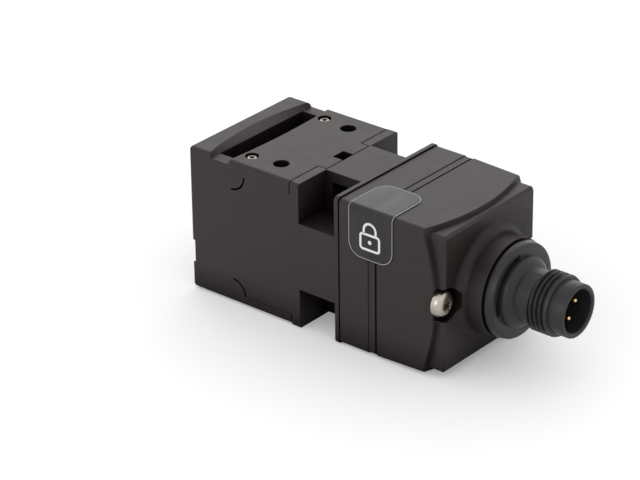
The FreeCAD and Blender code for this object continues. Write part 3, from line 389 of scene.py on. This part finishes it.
def metal(name, bright, dull, rough, stretch=(1.0, 1.0, 1.0), size=0.1, depth=0.004):
    """Metal with fine drawn lines, cloudy gloss, softened edges and shade painted into its recesses."""
    material, tree, shader = new_material(name, {"Metallic": 1.0})
    lines = use_group(tree, DRAWN_LINES, Stretch=stretch, Size=size)
    edges = use_group(tree, SOFT_EDGES, Radius=0.06 * MM)
    open_share = use_group(tree, RECESS_SHADE, Reach=RECESS_SHADE_REACH * MM, Contrast=RECESS_SHADE_CONTRAST)["Open"]
    surface = mix_colour(tree, lines["Cloud"], bright, dull)
    # painted shade: recesses are darkened towards a warm near black
    shaded = mix_colour(tree, open_share, RECESS_SHADE_COLOUR, surface)
    tree.links.new(shaded, shader.inputs["Base Color"])
    tree.links.new(between(tree, lines["Cloud"], rough - 0.08, rough + 0.1), shader.inputs["Roughness"])
    raise_surface(tree, shader, lines["Height"], edges["Normal"], 0.6, depth)
    return material


def foil_material():
    """Glossy dark foil that lies slightly wavy on the housing, with streaks along it."""
    material, tree, shader = new_material("label_foil", {
        "Specular IOR Level": FOIL_LEVEL, "Coat Roughness": FOIL_COAT_ROUGHNESS,
        "Coat Tint": colour(0.94, 0.95, 1.0),
    })
    skin = use_group(tree, MOULDED_SKIN, Grain=0.4, Flow=4.0)
    edges = use_group(tree, SOFT_EDGES, Radius=0.1 * MM)
    streaks = use_group(tree, DRAWN_LINES, Stretch=(1.0, 0.14, 0.14), Size=2.2)["Height"]
    base = mix_colour(tree, streaks, colour(0.004, 0.0036, 0.0052), colour(0.012, 0.0115, 0.0145))
    tree.links.new(base, shader.inputs["Base Color"])
    coat = between(tree, streaks, 0.0, FOIL_COAT_MOST, start=FOIL_COAT_START)
    tree.links.new(coat, shader.inputs["Coat Weight"])
    tree.links.new(between(tree, skin["Gloss"], 0.24, 0.36), shader.inputs["Roughness"])
    raise_surface(tree, shader, skin["Tone"], edges["Normal"], 0.5, 0.03)
    return material


HOUSING = plastic(
    "housing_plastic", colour(0.0195, 0.0122, 0.0124), colour(0.0250, 0.0160, 0.0166), 0.44,
    level=0.36, crevice_shade=1.7,
)
CONNECTOR = plastic(
    "connector_plastic", colour(0.0175, 0.0165, 0.0185), colour(0.022, 0.0205, 0.023), 0.36,
    grain=0.12, level=0.36,
)
INSERT = plastic(
    "insert_plastic", colour(0.010, 0.010, 0.011), colour(0.014, 0.014, 0.015), 0.4, specks=False,
)
INNER = plastic(
    "inner_plastic", colour(0.68, 0.66, 0.60), colour(0.76, 0.74, 0.69), 0.45, edge_light=0.1, specks=False,
)
RUBBER = plastic(
    "seal_rubber", colour(0.012, 0.012, 0.012), colour(0.018, 0.018, 0.018), 0.75, level=0.3, specks=False,
)
LEAD = plastic("lead_sleeve", colour(0.30, 0.05, 0.03), colour(0.38, 0.07, 0.04), 0.5, specks=False)
FOIL = foil_material()
PRINT_GREY = plastic(
    "print_grey", colour(0.36, 0.35, 0.34), colour(0.42, 0.41, 0.40), 0.4, depth=0.002, specks=False,
)
PRINT_WHITE = plastic(
    "print_white", colour(0.74, 0.73, 0.71), colour(0.82, 0.81, 0.79), 0.4, depth=0.002, specks=False,
)
STEEL = metal("screw_steel", colour(0.60, 0.55, 0.49), colour(0.44, 0.40, 0.35), 0.3)
ZINC = metal("zinc_die_cast", colour(0.55, 0.55, 0.54), colour(0.44, 0.44, 0.43), 0.45, size=0.3)
GOLD = metal("pin_gold", colour(0.95, 0.72, 0.30), colour(0.86, 0.60, 0.22), 0.28)
SILVER = metal("contact_silver", colour(0.86, 0.85, 0.82), colour(0.74, 0.73, 0.70), 0.3)
BRASS = metal("nut_brass", colour(0.80, 0.62, 0.32), colour(0.68, 0.51, 0.25), 0.35)

NODE_FINISH = {
    "head_cap": HOUSING, "head_frame": HOUSING, "base_housing": HOUSING, "rear_cover": HOUSING,
    "cover_seal": RUBBER, "connector_o_ring": RUBBER, "label": FOIL,
    "connector_insert": INSERT, "connector_nut": BRASS,
    "cam_axle": STEEL, "cam_wheel": INNER, "coding_discs": ZINC,
    "plunger": STEEL, "plunger_guide": INNER, "return_spring": STEEL,
    "contact_block": INNER, "contact_block_lid": INNER, "contact_carrier": INNER,
    "safety_contacts": SILVER, "signal_contacts": SILVER,
    "safety_bridge": SILVER, "signal_bridge": SILVER, "bridge_springs": STEEL,
    "internal_leads": LEAD,
}


def finish_nodes():
    for name, material in NODE_FINISH.items():
        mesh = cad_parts[name].data
        mesh.materials.clear()
        mesh.materials.append(material)


# ---- mesh building ----------------------------------------------------------------------------

SAME_PLACE = 0.0005 * MM


def add_piece(name, points, faces, material, sharp=35.0, body="housing"):
    """Mesh piece in metres that rides on a body, smooth except at edges over sharp degrees."""
    mesh = bpy.data.meshes.new(name)
    mesh.from_pydata(points, [], faces)
    work = bmesh.new()
    work.from_mesh(mesh)
    bmesh.ops.remove_doubles(work, verts=work.verts, dist=SAME_PLACE)
    bmesh.ops.recalc_face_normals(work, faces=work.faces)
    work.to_mesh(mesh)
    work.free()
    mesh.shade_smooth()
    mesh.set_sharp_from_angle(angle=math.radians(sharp))
    mesh.materials.append(material)
    piece = bpy.data.objects.new(name, mesh)
    bpy.context.scene.collection.objects.link(piece)
    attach(piece, body)
    return piece


def ring_faces(rows, columns, closed=False):
    """Quads between neighbouring rows of points, each row a closed ring."""
    last = rows if closed else rows - 1
    faces = []
    for row in range(last):
        below, above = row * columns, (row + 1) % rows * columns
        for column in range(columns):
            beside = (column + 1) % columns
            faces.append((below + column, below + beside, above + beside, above + column))
    return faces


def close_ring(points, faces, ring, tip):
    """Triangles from a ring of numbered points to one more point."""
    points.append(tip)
    faces += [(first, second, len(points) - 1) for first, second in zip(ring, ring[1:] + ring[:1])]


def smooth_step(value):
    value = min(1.0, max(0.0, value))
    return value * value * (3 - 2 * value)


def thread_height(distance, angle, pitch):
    """Height of a thread's profile, from 0 at its root to 1 on its crest."""
    phase = (distance / pitch - angle / FULL_TURN) % 1.0
    from_crest = abs(phase - 0.5) * 2
    return min(1.0, max(0.0, (CREST_SHARE + FLANK_SHARE - from_crest) / FLANK_SHARE))


PLACE_DIGITS = 4  # of a millimetre


def smooth_over_creases(name, limit=33.0):
    """Let the shading run over borders between faces that meet at under limit degrees."""
    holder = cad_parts[name]
    mesh = holder.data
    mesh.attributes.remove(mesh.attributes["custom_normal"])
    mesh.shade_smooth()
    places = [tuple(round(part / MM, PLACE_DIGITS) for part in vertex.co) for vertex in mesh.vertices]
    beside = {}
    for face in mesh.polygons:
        for first, second in face.edge_keys:
            beside.setdefault(frozenset((places[first], places[second])), []).append(face.normal)
    for edge in mesh.edges:
        first, second = edge.vertices
        normals = beside[frozenset((places[first], places[second]))]
        edge.use_edge_sharp = normals[0].angle(normals[-1]) > math.radians(limit)
    holder.modifiers.new("join_borders", "WELD").merge_threshold = 10**-PLACE_DIGITS * MM
    weighting = holder.modifiers.new("keep_flats_flat", "WEIGHTED_NORMAL")
    weighting.keep_sharp = True
    weighting.weight = 100


# ---- connector ----------------------------------------------------------------------------------

def barrel_profile():
    """Rows of the connector shell as (distance from its open end, radius, kind).

    They run from the back to the front on the outside and back along the socket.
    """
    low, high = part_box("connector_shell")
    length = (high.x - low.x) / MM
    r = EDGE_ROUND
    rows = [
        (length, SOCKET_RADIUS), (length, SHANK_RADIUS - r), (length - r, SHANK_RADIUS),
        (FLANGE_BACK, SHANK_RADIUS), (FLANGE_BACK, FLANGE_RADIUS - 1.5 * r),
        (FLANGE_BACK - 0.4 * r, FLANGE_RADIUS - 0.4 * r), (FLANGE_BACK - 1.5 * r, FLANGE_RADIUS),
        (HUB_BACK + 1.5 * r, FLANGE_FRONT_RADIUS + 0.25 * r),
        (HUB_BACK + 0.45 * r, FLANGE_FRONT_RADIUS - 0.45 * r),
        (HUB_BACK, FLANGE_FRONT_RADIUS - 1.5 * r), (HUB_BACK, WRENCH_SLOT_RADIUS),
        (HUB_BACK, WRENCH_SLOT_RADIUS, "slot"), (HUB_BACK, HUB_RADIUS, "slot"),
        (HUB_BACK, HUB_RADIUS), (HUB_CONE_BACK + r, HUB_RADIUS),
        (HUB_CONE_BACK + 0.3 * r, HUB_RADIUS - 0.3 * r), (HUB_CONE_BACK - r, HUB_RADIUS - 1.2 * r),
        (NECK_BACK, NECK_RADIUS + NECK_FILLET_HEIGHT), (NECK_BACK - NECK_FILLET_LENGTH, NECK_RADIUS),
    ]
    thread_front = TIP_LENGTH + COLLAR_LENGTH
    steps = round((THREAD_BACK - thread_front) / THREAD_ROW)
    for step in range(steps + 1):
        back = THREAD_BACK + (thread_front - THREAD_BACK) * step / steps
        rows.append((back, THREAD_RADIUS, "thread"))
    rows += [
        (thread_front - COLLAR_CHAMFER, COLLAR_RADIUS), (TIP_LENGTH + 2 * r, COLLAR_RADIUS),
        (TIP_LENGTH + 0.5 * r, COLLAR_RADIUS - 0.6 * r), (TIP_LENGTH, COLLAR_RADIUS - 2 * r),
        (TIP_LENGTH, TIP_RADIUS + TIP_FILLET), (TIP_LENGTH - TIP_FILLET, TIP_RADIUS),
        (TIP_ROUND, TIP_RADIUS), (0.3 * TIP_ROUND, TIP_RADIUS - 0.3 * TIP_ROUND),
        (0.0, TIP_RADIUS - TIP_ROUND), (0.0, SOCKET_RADIUS + SOCKET_LIP),
        (SOCKET_LIP, SOCKET_RADIUS), (KEY_SETBACK, SOCKET_RADIUS),
        (KEY_SETBACK, SOCKET_RADIUS, "key"), (SOCKET_DEPTH, SOCKET_RADIUS, "key"),
        (SOCKET_DEPTH, SOCKET_RADIUS),
    ]
    return [row if len(row) == 3 else row + ("plain",) for row in rows]


def away_from(angle, centre, repeat):
    """Angle to the nearest of several evenly spaced directions, the first of them given."""
    return abs((angle - centre + repeat / 2) % repeat - repeat / 2)


def barrel_point(back, radius, kind, angle):
    """One row's distance from the open end and radius, with the thread, key and slots."""
    if kind == "thread":
        from_back = THREAD_BACK - back
        rise = thread_height(from_back, angle, THREAD_PITCH) * smooth_step(from_back / THREAD_FADE)
        to_collar = smooth_step((back - TIP_LENGTH - COLLAR_LENGTH) / THREAD_FADE)
        return back, radius - (THREAD_RADIUS - THREAD_ROOT) * (1 - rise) * to_collar
    if kind == "key" and away_from(angle, KEY_ANGLE, FULL_TURN) * radius < KEY_WIDTH / 2:
        return back, radius - KEY_HEIGHT
    if kind == "slot" and away_from(angle, KEY_ANGLE, FULL_TURN / 2) < WRENCH_SLOT_HALF_SPAN:
        return back + WRENCH_SLOT_DEPTH, radius
    return back, radius


def connector_barrel():
    """The connector shell with its thread, socket, key and wrench slots, as one closed ring."""
    low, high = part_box("connector_shell")
    middle = (low.z + high.z) / 2
    rows = barrel_profile()
    points = []
    for row in rows:
        for column in range(BARREL_COLUMNS):
            angle = FULL_TURN * column / BARREL_COLUMNS
            back, reach = barrel_point(*row, angle)
            across = Vector((0, math.cos(angle), math.sin(angle))) * (reach * MM)
            points.append(Vector((high.x - back * MM, 0, middle)) + across)
    faces = ring_faces(len(rows), BARREL_COLUMNS, closed=True)
    piece = add_piece("threaded_barrel", points, faces, CONNECTOR, sharp=40.0)
    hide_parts("connector_shell")


def contact_pin(name, low_x, high_x, centre_y, centre_z):
    """Gold pin with a chamfered foot and a domed tip, along X."""
    radius = PIN_RADIUS * MM
    rows = [(low_x, PIN_FOOT_RADIUS * MM), (low_x + PIN_FOOT_LENGTH * MM, radius)]
    for step in range(PIN_DOME_ROWS):
        turn = math.pi / 2 * step / PIN_DOME_ROWS
        rows.append((high_x - radius * (1 - math.sin(turn)), radius * math.cos(turn)))
    points = []
    for x, reach in rows:
        for column in range(PIN_COLUMNS):
            angle = FULL_TURN * column / PIN_COLUMNS
            points.append((x, centre_y + reach * math.cos(angle), centre_z + reach * math.sin(angle)))
    faces = ring_faces(len(rows), PIN_COLUMNS)
    faces.append(tuple(range(PIN_COLUMNS)))
    front_ring = list(range(len(points) - PIN_COLUMNS, len(points)))
    close_ring(points, faces, front_ring, (high_x, centre_y, centre_z))
    return add_piece(name, points, faces, GOLD)


def all_contact_pins():
    """The pins stand on the centres of the plain ones, half-way between the key's quarters."""
    low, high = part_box("contact_pins")
    middle = (low.z + high.z) / 2
    for number in range(PIN_COUNT):
        place = KEY_ANGLE + FULL_TURN * (number - 0.5) / PIN_COUNT
        centre_y = PIN_CIRCLE_RADIUS * MM * math.cos(place)
        centre_z = middle + PIN_CIRCLE_RADIUS * MM * math.sin(place)
        piece = contact_pin("contact_pin_%d" % (number + 1), low.x, high.x, centre_y, centre_z)
        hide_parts("contact_pins")


# ---- screws ---------------------------------------------------------------------------------------

def six_lobes(angle, outer, inner):
    return (outer + inner) / 2 + (outer - inner) / 2 * math.cos(6 * angle)


def screw_profile(head_radius, length, size):
    """Rows of a screw as (height above its seat, radius, kind), in millimetres.

    They run from the recess's floor over the head and down the shank. The radius of
    a row of the recess is a share of its lobes.
    """
    height, flat, shank = size["head_height"], size["flat_radius"], size["shank_radius"]
    depth = size["recess_depth"]
    side = height * SCREW_SIDE_SHARE
    rows = [
        (height - depth, 0.5, "recess"), (height - 0.88 * depth, 0.97, "recess"),
        (0.93 * height, 1.0, "recess"), (height, 1.05, "recess"), (height, flat, "plain"),
    ]
    for step in range(1, SCREW_DOME_ROWS + 1):
        bend = math.pi / 2 * step / SCREW_DOME_ROWS
        reach = flat + (head_radius - flat) * math.sin(bend)
        rows.append((side + (height - side) * math.cos(bend), reach, "plain"))
    rows += [
        (SCREW_EDGE, head_radius, "plain"), (0.0, head_radius - SCREW_EDGE, "plain"),
        (0.0, 0.98 * shank, "plain"),
    ]
    steps = round(length / size["pitch"] * SCREW_ROWS_PER_PITCH)
    rows += [(-length * step / steps, shank, "thread") for step in range(1, steps)]
    rows.append((-length, shank / 2, "plain"))
    return rows


def screw_reach(up, radius, kind, angle, length, size):
    """Distance from the screw's axis to one row at one angle, in millimetres."""
    if kind == "recess":
        lobes = six_lobes(angle + size["recess_turn"], size["recess_outer"], size["recess_inner"])
        return radius * lobes
    if kind == "thread":
        pitch = size["pitch"]
        fade = smooth_step((length + up) / pitch) * smooth_step(-up / pitch)
        rise = thread_height(-up, -angle, pitch)
        return radius * (1 - SCREW_THREAD_SHARE * (1 - rise * fade))
    return radius


def lobed_screw(name, seat, outwards, head_radius, length, size, replaced):
    """Pan-head screw with a six-lobed recess and a threaded shank; seat is in metres."""
    across = Vector((0, 0, 1)) if abs(outwards.z) < 0.5 else Vector((1, 0, 0))
    beside = outwards.cross(across)
    rows = screw_profile(head_radius, length, size)
    points = []
    for row in rows:
        for column in range(SCREW_COLUMNS):
            angle = FULL_TURN * column / SCREW_COLUMNS
            reach = screw_reach(*row, angle, length, size) * MM
            offset = (across * math.cos(angle) + beside * math.sin(angle)) * reach
            points.append(seat + outwards * (row[0] * MM) + offset)
    faces = ring_faces(len(rows), SCREW_COLUMNS)
    recess_ring = list(range(SCREW_COLUMNS))[::-1]
    tip_ring = list(range(len(points) - SCREW_COLUMNS, len(points)))
    recess_floor = size["head_height"] - 1.12 * size["recess_depth"]
    close_ring(points, faces, recess_ring, seat + outwards * (recess_floor * MM))
    close_ring(points, faces, tip_ring, seat - outwards * (length * MM))
    piece = add_piece(name, points, faces, STEEL, sharp=42.0)
    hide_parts(replaced)


def all_screws():
    """Both pairs, on the centres of the plain ones and as long as they are."""
    low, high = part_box("cover_screws")
    middle = (low.z + high.z) / 2
    head_radius = (high.z - low.z) / 2
    length = (high.x - low.x) / MM - COVER_SCREW["head_height"]
    seat_x = high.x - COVER_SCREW["head_height"] * MM
    for name, y in (("cover_screw_near", low.y + head_radius), ("cover_screw_far", high.y - head_radius)):
        seat = Vector((seat_x, y, middle))
        lobed_screw(
            name, seat, Vector((1, 0, 0)), head_radius / MM, length, COVER_SCREW, "cover_screws",
        )
    low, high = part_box("head_screws")
    middle = (low.x + high.x) / 2
    head_radius = (high.x - low.x) / 2
    length = (high.z - low.z) / MM - HEAD_SCREW["head_height"]
    seat_z = high.z - HEAD_SCREW["head_height"] * MM
    for name, y in (("head_screw_near", low.y + head_radius), ("head_screw_far", high.y - head_radius)):
        seat = Vector((middle, y, seat_z))
        lobed_screw(
            name, seat, Vector((0, 0, 1)), head_radius / MM, length, HEAD_SCREW, "head_screws",
        )


# ---- label print ----------------------------------------------------------------------------------

def foil_point(along, up, lift):
    """Point on the label: along the housing, and up its side, round the edge and over the top."""
    low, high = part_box("label")
    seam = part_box("cover_seal")[1].x
    shrink = max(0.0, low.x + along * MM - seam) * COVER_TAPER
    side = low.y + shrink
    top = high.z - shrink
    radius = FOIL_EDGE_RADIUS * MM
    height = top - radius - low.z
    rise = up * MM
    x = low.x + along * MM
    if rise < height:
        return (x, side - lift * MM, low.z + rise)
    turn = (rise - height) / radius
    if turn < math.pi / 2:
        reach = radius + lift * MM
        return (x, side + radius - reach * math.cos(turn), top - radius + reach * math.sin(turn))
    over = rise - height - radius * math.pi / 2
    return (x, side + radius + over, top + lift * MM)


def foil_height():
    """Length of the label from its lower edge, over the housing's edge, to its inner edge."""
    low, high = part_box("label")
    side = (high.z - low.z) / MM - FOIL_EDGE_RADIUS
    over = (high.y - low.y) / MM - FOIL_EDGE_RADIUS
    return side + FOIL_EDGE_RADIUS * math.pi / 2 + over


def rounded_path(left, right, bottom, top, radius, steps=10, spacing=0.25):
    """Closed path round a rectangle with round corners, as flat points."""
    corners = [(right, bottom, -90), (right, top, 0), (left, top, 90), (left, bottom, 180)]
    path = []
    for x, y, start in corners:
        centre_x = x - radius if x == right else x + radius
        centre_y = y - radius if y == top else y + radius
        for step in range(steps + 1):
            turn = math.radians(start + 90 * step / steps)
            path.append((centre_x + radius * math.cos(turn), centre_y + radius * math.sin(turn)))
    return fill_path(path + path[:1], spacing)[:-1]


def fill_path(path, spacing):
    """The same path with extra points, so that none are further apart than spacing."""
    filled = [path[0]]
    for (x0, y0), (x1, y1) in zip(path, path[1:]):
        count = max(1, math.ceil(math.hypot(x1 - x0, y1 - y0) / spacing))
        for step in range(1, count + 1):
            filled.append((x0 + (x1 - x0) * step / count, y0 + (y1 - y0) * step / count))
    return filled


def printed_line(name, path, width, closed, material):
    """Thin raised line of print that follows a flat path over the label."""
    count = len(path)
    points = []
    for number, (x, y) in enumerate(path):
        before = path[number - 1] if closed or number else path[0]
        after = path[(number + 1) % count] if closed or number < count - 1 else path[-1]
        run = Vector((after[0] - before[0], after[1] - before[1])).normalized()
        side = Vector((-run.y, run.x)) * width / 2
        for sign, lift in ((-1, 0.0), (-1, PRINT_LIFT), (1, PRINT_LIFT), (1, 0.0)):
            points.append(foil_point(x + sign * side.x, y + sign * side.y, lift))
    faces = ring_faces(count, 4, closed)
    if not closed:
        faces += [(3, 2, 1, 0), tuple(range(4 * count - 4, 4 * count))]
    return add_piece(name, points, faces, material, sharp=50.0)


def padlock_sign(x, y):
    """Padlock of white lines round the point at x along and y up the label."""
    case = rounded_path(
        x - CASE_HALF_WIDTH, x + CASE_HALF_WIDTH, y - CASE_BELOW, y + CASE_ABOVE, CASE_CORNER_RADIUS,
    )
    printed_line("lock_sign_case", case, LOCK_LINE, True, PRINT_WHITE)
    bow = [(x - BOW_RADIUS, y + BOW_FOOT)]
    for step in range(BOW_STEPS + 1):
        turn = math.pi * (1 - step / BOW_STEPS)
        bow.append((x + BOW_RADIUS * math.cos(turn), y + BOW_MIDDLE + BOW_RADIUS * math.sin(turn)))
    bow.append((x + BOW_RADIUS, y + BOW_FOOT))
    printed_line("lock_sign_bow", fill_path(bow, 0.2), LOCK_LINE, False, PRINT_WHITE)
    keyhole = []
    for step in range(KEYHOLE_STEPS):
        turn = FULL_TURN * step / KEYHOLE_STEPS
        up = y - KEYHOLE_BELOW + KEYHOLE_RADIUS * math.sin(turn)
        keyhole.append((x + KEYHOLE_RADIUS * math.cos(turn), up))
    printed_line("lock_sign_keyhole", keyhole, KEYHOLE_LINE, True, PRINT_WHITE)


def label_print():
    """Thin line just inside the label's edge, and a generic padlock in its middle."""
    low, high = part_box("label")
    length = (high.x - low.x) / MM
    outline = rounded_path(
        LINE_INSET, length - LINE_INSET, LINE_INSET, foil_height() - LINE_INSET,
        FOIL_CORNER_RADIUS - LINE_INSET,
    )
    printed_line("label_outline", outline, LINE_WIDTH, True, PRINT_GREY)
    padlock_sign(length * LOCK_ALONG_SHARE, LOCK_UP)


# ---- studio ---------------------------------------------------------------------------------------

CAMERA_AZIMUTH = math.radians(39.99)
CAMERA_ELEVATION = math.radians(27.13)
CAMERA_ROLL = math.radians(-0.745)
CAMERA_DISTANCE = 0.58012
CAMERA_TARGET = Vector((0.00083, 0.00009, 0.01056))
CAMERA_LENS = 168.1
SENSOR_WIDTH = 36.0

# name, place, width and height in metres, and watts; all of them aim at the same point
SOFTBOXES = (
    ("back_softbox", (-0.57, 0.68, 0.47), 1.0, 1.0, 2.0),
    ("front_softbox", (0.1, -0.9, 0.4), 0.6, 0.4, 1.2),
)
SOFTBOX_AIM = (0, 0, 0.015)
WORLD_STRENGTH = 0.88
FLOOR_RADIUS = 3.0
FLOOR_CORNERS = 64
FLOOR_GLOW = 0.2
WHITE = colour(1.0, 1.0, 1.0)


def studio_camera():
    camera = bpy.data.objects.new("camera", bpy.data.cameras.new("camera"))
    tilt = math.pi / 2 - CAMERA_ELEVATION
    turn = Matrix.Rotation(CAMERA_AZIMUTH, 4, "Z") @ Matrix.Rotation(tilt, 4, "X")
    turn = turn @ Matrix.Rotation(CAMERA_ROLL, 4, "Z")
    back = turn.to_3x3() @ Vector((0, 0, 1))
    camera.matrix_world = Matrix.Translation(CAMERA_TARGET + back * CAMERA_DISTANCE) @ turn
    camera.data.sensor_width = SENSOR_WIDTH
    camera.data.lens = CAMERA_LENS
    camera.data.clip_start = 0.01
    bpy.context.scene.collection.objects.link(camera)
    bpy.context.scene.camera = camera


def softbox(name, place, width, height, power):
    """Rectangular lamp that faces the part."""
    lamp = bpy.data.lights.new(name, "AREA")
    lamp.shape = "RECTANGLE"
    lamp.size = width
    lamp.size_y = height
    lamp.energy = power
    holder = bpy.data.objects.new(name, lamp)
    holder.location = place
    towards = Vector(SOFTBOX_AIM) - Vector(place)
    holder.rotation_euler = towards.to_track_quat("-Z", "Y").to_euler()
    bpy.context.scene.collection.objects.link(holder)


def studio_world():
    """Even light, which shows as plain white behind the part and in its reflections."""
    world = bpy.data.worlds.new("studio")
    world.use_nodes = True
    bpy.context.scene.world = world
    tree = world.node_tree
    background = tree.nodes["Background"]
    rays = node(tree, "ShaderNodeLightPath").outputs
    seen = maths(tree, "MAXIMUM", rays["Is Camera Ray"], rays["Is Glossy Ray"])
    seen = maths(tree, "MAXIMUM", seen, rays["Is Transmission Ray"])
    background.inputs["Color"].default_value = WHITE
    tree.links.new(between(tree, seen, WORLD_STRENGTH, 1.0), background.inputs["Strength"])


def studio_floor():
    """Round pale floor under the part, which shows white and keeps the part's shadow."""
    points = []
    for corner in range(FLOOR_CORNERS):
        angle = FULL_TURN * corner / FLOOR_CORNERS
        points.append((FLOOR_RADIUS * math.cos(angle), FLOOR_RADIUS * math.sin(angle), 0.0))
    mesh = bpy.data.meshes.new("floor")
    mesh.from_pydata(points, [], [tuple(range(FLOOR_CORNERS))])
    material, tree, shader = new_material("floor_paper", {
        "Base Color": colour(0.9, 0.9, 0.9), "Roughness": 0.9, "Specular IOR Level": 0.0,
        "Emission Color": WHITE,
    })
    rays = node(tree, "ShaderNodeLightPath").outputs
    glow = maths(tree, "MULTIPLY", rays["Is Camera Ray"], FLOOR_GLOW)
    tree.links.new(glow, shader.inputs["Emission Strength"])
    mesh.materials.append(material)
    floor = bpy.data.objects.new("floor", mesh)
    bpy.context.scene.collection.objects.link(floor)


def studio():
    studio_camera()
    studio_world()
    studio_floor()
    for settings in SOFTBOXES:
        softbox(*settings)
    bpy.context.scene.view_settings.view_transform = "Standard"


finish_nodes()
smooth_over_creases("rear_cover")
connector_barrel()
all_contact_pins()
all_screws()
label_print()
studio()
